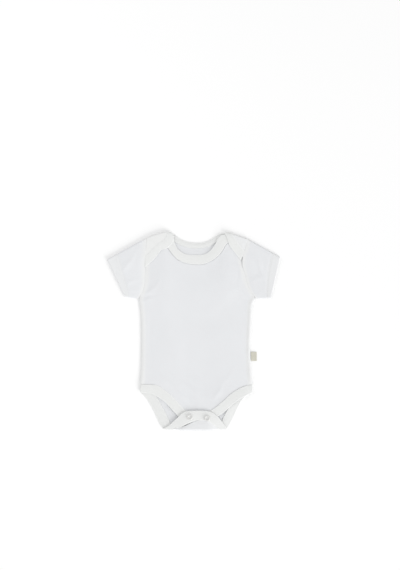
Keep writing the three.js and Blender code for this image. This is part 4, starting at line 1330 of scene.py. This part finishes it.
def stitch_tree():
    """A node tree with named sizes: geometry in as a line of edges, stitches out as a mesh."""
    tree = bpy.data.node_groups.new("row_of_stitches", "GeometryNodeTree")
    face = tree.interface
    for title, kind, value in STITCH_INPUTS:
        socket = face.new_socket(title, in_out="INPUT", socket_type=kind)
        if value is not None:
            socket.default_value = value
    face.new_socket("Stitches", in_out="OUTPUT", socket_type="NodeSocketGeometry")
    given = add_node(tree, "NodeGroupInput").outputs
    result = add_node(tree, "NodeGroupOutput").inputs
    link = tree.links.new

    curve = add_node(tree, "GeometryNodeMeshToCurve")
    link(given["Line"], curve.inputs["Mesh"])
    evenly = add_node(tree, "GeometryNodeResampleCurve", mode="LENGTH")
    link(curve.outputs["Curve"], evenly.inputs["Curve"])
    link(given["Pitch"], evenly.inputs["Length"])

    half_length = maths(tree, "MULTIPLY", given["Length"], 0.5)
    sunk = maths(tree, "MULTIPLY", given["Thread radius"], THREAD_SUNK)
    raised = maths(tree, "MULTIPLY", given["Thread radius"], THREAD_RAISED)
    ends = []
    for sign, height in ((-1, sunk), (0, raised), (1, sunk)):
        at = add_node(tree, "ShaderNodeCombineXYZ")
        link(maths(tree, "MULTIPLY", half_length, sign), at.inputs["X"])
        link(height, at.inputs["Z"])
        ends.append(at.outputs["Vector"])
    bow = add_node(tree, "GeometryNodeCurveQuadraticBezier")
    bow.inputs["Resolution"].default_value = THREAD_CELLS
    for title, value in zip(("Start", "Middle", "End"), ends):
        link(value, bow.inputs[title])
    round_thread = add_node(tree, "GeometryNodeCurvePrimitiveCircle")
    round_thread.inputs["Resolution"].default_value = THREAD_SIDES
    link(given["Thread radius"], round_thread.inputs["Radius"])
    stitch = add_node(tree, "GeometryNodeCurveToMesh")
    link(bow.outputs["Curve"], stitch.inputs["Curve"])
    link(round_thread.outputs["Curve"], stitch.inputs["Profile Curve"])
    stitch.inputs["Fill Caps"].default_value = True

    tangent = add_node(tree, "GeometryNodeInputTangent")
    turn = add_node(tree, "FunctionNodeAlignRotationToVector", axis="X")
    link(tangent.outputs["Tangent"], turn.inputs["Vector"])
    vary = add_node(tree, "FunctionNodeRandomValue", data_type="FLOAT")
    lowest, highest = [socket for socket in vary.inputs if socket.type == "VALUE"][:2]
    link(maths(tree, "SUBTRACT", 1.0, given["Unevenness"]), lowest)
    link(maths(tree, "ADD", 1.0, given["Unevenness"]), highest)
    link(given["Seed"], vary.inputs["Seed"])
    size = next(socket for socket in vary.outputs if socket.type == "VALUE")
    laid = add_node(tree, "GeometryNodeInstanceOnPoints")
    link(evenly.outputs["Curve"], laid.inputs["Points"])
    link(stitch.outputs["Mesh"], laid.inputs["Instance"])
    link(turn.outputs["Rotation"], laid.inputs["Rotation"])
    link(size, laid.inputs["Scale"])
    real = add_node(tree, "GeometryNodeRealizeInstances")
    link(laid.outputs["Instances"], real.inputs["Geometry"])
    finished = add_node(tree, "GeometryNodeSetMaterial")
    link(real.outputs["Geometry"], finished.inputs["Geometry"])
    link(given["Thread"], finished.inputs["Material"])
    link(finished.outputs["Geometry"], result["Stitches"])
    return tree


STITCHES = stitch_tree()
IDENTIFIER = {
    item.name: item.identifier
    for item in STITCHES.interface.items_tree
    if item.item_type == "SOCKET" and item.in_out == "INPUT"
}
print("stitch tree inputs", sorted(IDENTIFIER))


# %% Sew along rows of points
def sewn(name, lines, seed):
    """Stitches along each line of points in millimetres, as one plain mesh."""
    verts = np.concatenate(lines) * MM
    edges, start = [], 0
    for line in lines:
        edges += [(start + k, start + k + 1) for k in range(len(line) - 1)]
        start += len(line)
    mesh = bpy.data.meshes.new(name + "_line")
    mesh.from_pydata(verts.tolist(), edges, [])
    guide = bpy.data.objects.new(name + "_line", mesh)
    bpy.context.scene.collection.objects.link(guide)
    modifier = guide.modifiers.new("stitches", "NODES")
    modifier.node_group = STITCHES
    modifier[IDENTIFIER["Pitch"]] = STITCH_PITCH * MM
    modifier[IDENTIFIER["Length"]] = STITCH_PITCH * STITCH_SHARE * MM
    modifier[IDENTIFIER["Seed"]] = seed
    modifier[IDENTIFIER["Thread"]] = thread
    evaluated = guide.evaluated_get(bpy.context.evaluated_depsgraph_get())
    made = bpy.data.meshes.new_from_object(evaluated)
    bpy.data.objects.remove(guide)
    made.name = name
    made.polygons.foreach_set("use_smooth", [True] * len(made.polygons))
    row = bpy.data.objects.new(name, made)
    bpy.context.scene.collection.objects.link(row)
    print(name, len(made.polygons), "faces")
    return row


LOOKS_UP = 0.25
FEWEST_POINTS = 6


def stretches_up(line, rise):
    """The stretches of a line where the skin under it looks up, a little short of their ends."""
    shown = np.flatnonzero(rise > LOOKS_UP)
    stretches = np.split(shown, np.flatnonzero(np.diff(shown) > 1) + 1)
    return [line[stretch[1:-1]] for stretch in stretches if len(stretch) >= FEWEST_POINTS]


def rows_on(middle, thick):
    """Lines along both stitch rows of a strip, on each stretch of its skins that looks up."""
    normals = normals_of(middle)
    lines = []
    for share in STITCH_ROWS:
        place = share * (middle.shape[1] - 1)
        k = int(place)
        for sign in (1, -1):
            skin = middle + normals * thick[..., None] / 2 * sign
            line = mix(skin[:, k], skin[:, k + 1], place - k)
            lines += stretches_up(line, normals[:, k, 2] * sign)
    return lines


stitches = {}
for name, line, thick, seed in (
    ("neck_stitches_front", neck_front_line, neck_front_thick, 11),
    ("leg_stitches_front", leg_front_line, leg_front_thick, 12),
    ("neck_stitches_back", neck_back_line, neck_back_thick, 13),
    ("leg_stitches_back", leg_back_line, leg_back_thick, 14),
):
    stitches[name] = sewn(name, rows_on(line, thick), seed)

# %% Sew the sleeve hems
HEM_ROWS = (14.0, 11.0)


def hem_lines(skin, stations, length, way):
    """Rows across the upper side of a sleeve, at distances from its cuff."""
    rise = normals_of(skin)[..., 2] * way
    lines = []
    for distance in HEM_ROWS:
        place = np.interp(1 - distance / length, stations, np.arange(len(stations)))
        k = int(place)
        lines += stretches_up(mix(skin[k], skin[k + 1], place - k), rise[k])
    return lines


for name, hem, seed in (
    ("hem_stitches_left", hem_lines(skin_left, stations_left, length_left, -1), 15),
    ("hem_stitches_right", hem_lines(skin_right, stations_right, length_right, 1), 16),
):
    stitches[name] = sewn(name, hem, seed)

# %% [markdown]
# ## Hand the pieces over
#
# Every piece rides on the one body and stands for its node, whose plain solid is hidden. The
# stitches that go with each cloth ride on the body too.

# %% Attach the pieces and hide the solids they stand for
CUTS = [
    (front, "front_panel", "cotton", (0.212, 0.310), 0.0507, "laid", ["back"], None),
    (back, "back_panel", "cotton", (0.212, 0.430), 0.0626, "folded", [], None),
    (sleeve_left, "sleeve_left", "cotton", (0.160, 0.075), 0.0107, "laid", [], "hem_stitches_left"),
    (sleeve_right, "sleeve_right", "cotton", (0.160, 0.075), 0.0107, "laid", [], "hem_stitches_right"),
    (neck_front, "neck_binding_front", "rib", (0.240, 0.0165), 0.0031, "laid", ["back"],
     "neck_stitches_front"),
    (neck_back, "neck_binding_back", "rib", (0.250, 0.0165), 0.0029, "folded", [], "neck_stitches_back"),
    (leg_front, "leg_binding_front", "rib", (0.260, 0.0165), 0.0035, "laid", ["back"],
     "leg_stitches_front"),
    (leg_back, "leg_binding_back", "rib", (0.360, 0.0165), 0.0046, "folded", [], "leg_stitches_back"),
    (tab, "side_tab", "tape", (0.0104, 0.0162), None, "laid", [], None),
]
for piece, node, slot, flat, area, held, under, row_name in CUTS:
    sewing = [stitches[row_name]] if row_name else []
    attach(piece, "root")
    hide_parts(node)
    for row in sewing:
        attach(row, "root")
print("cloth pieces", len(CUTS))

# %% Print the dressed size
low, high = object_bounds()
print("dressed size", [round((b - a) / MM, 1) for a, b in zip(low, high)], "mm")
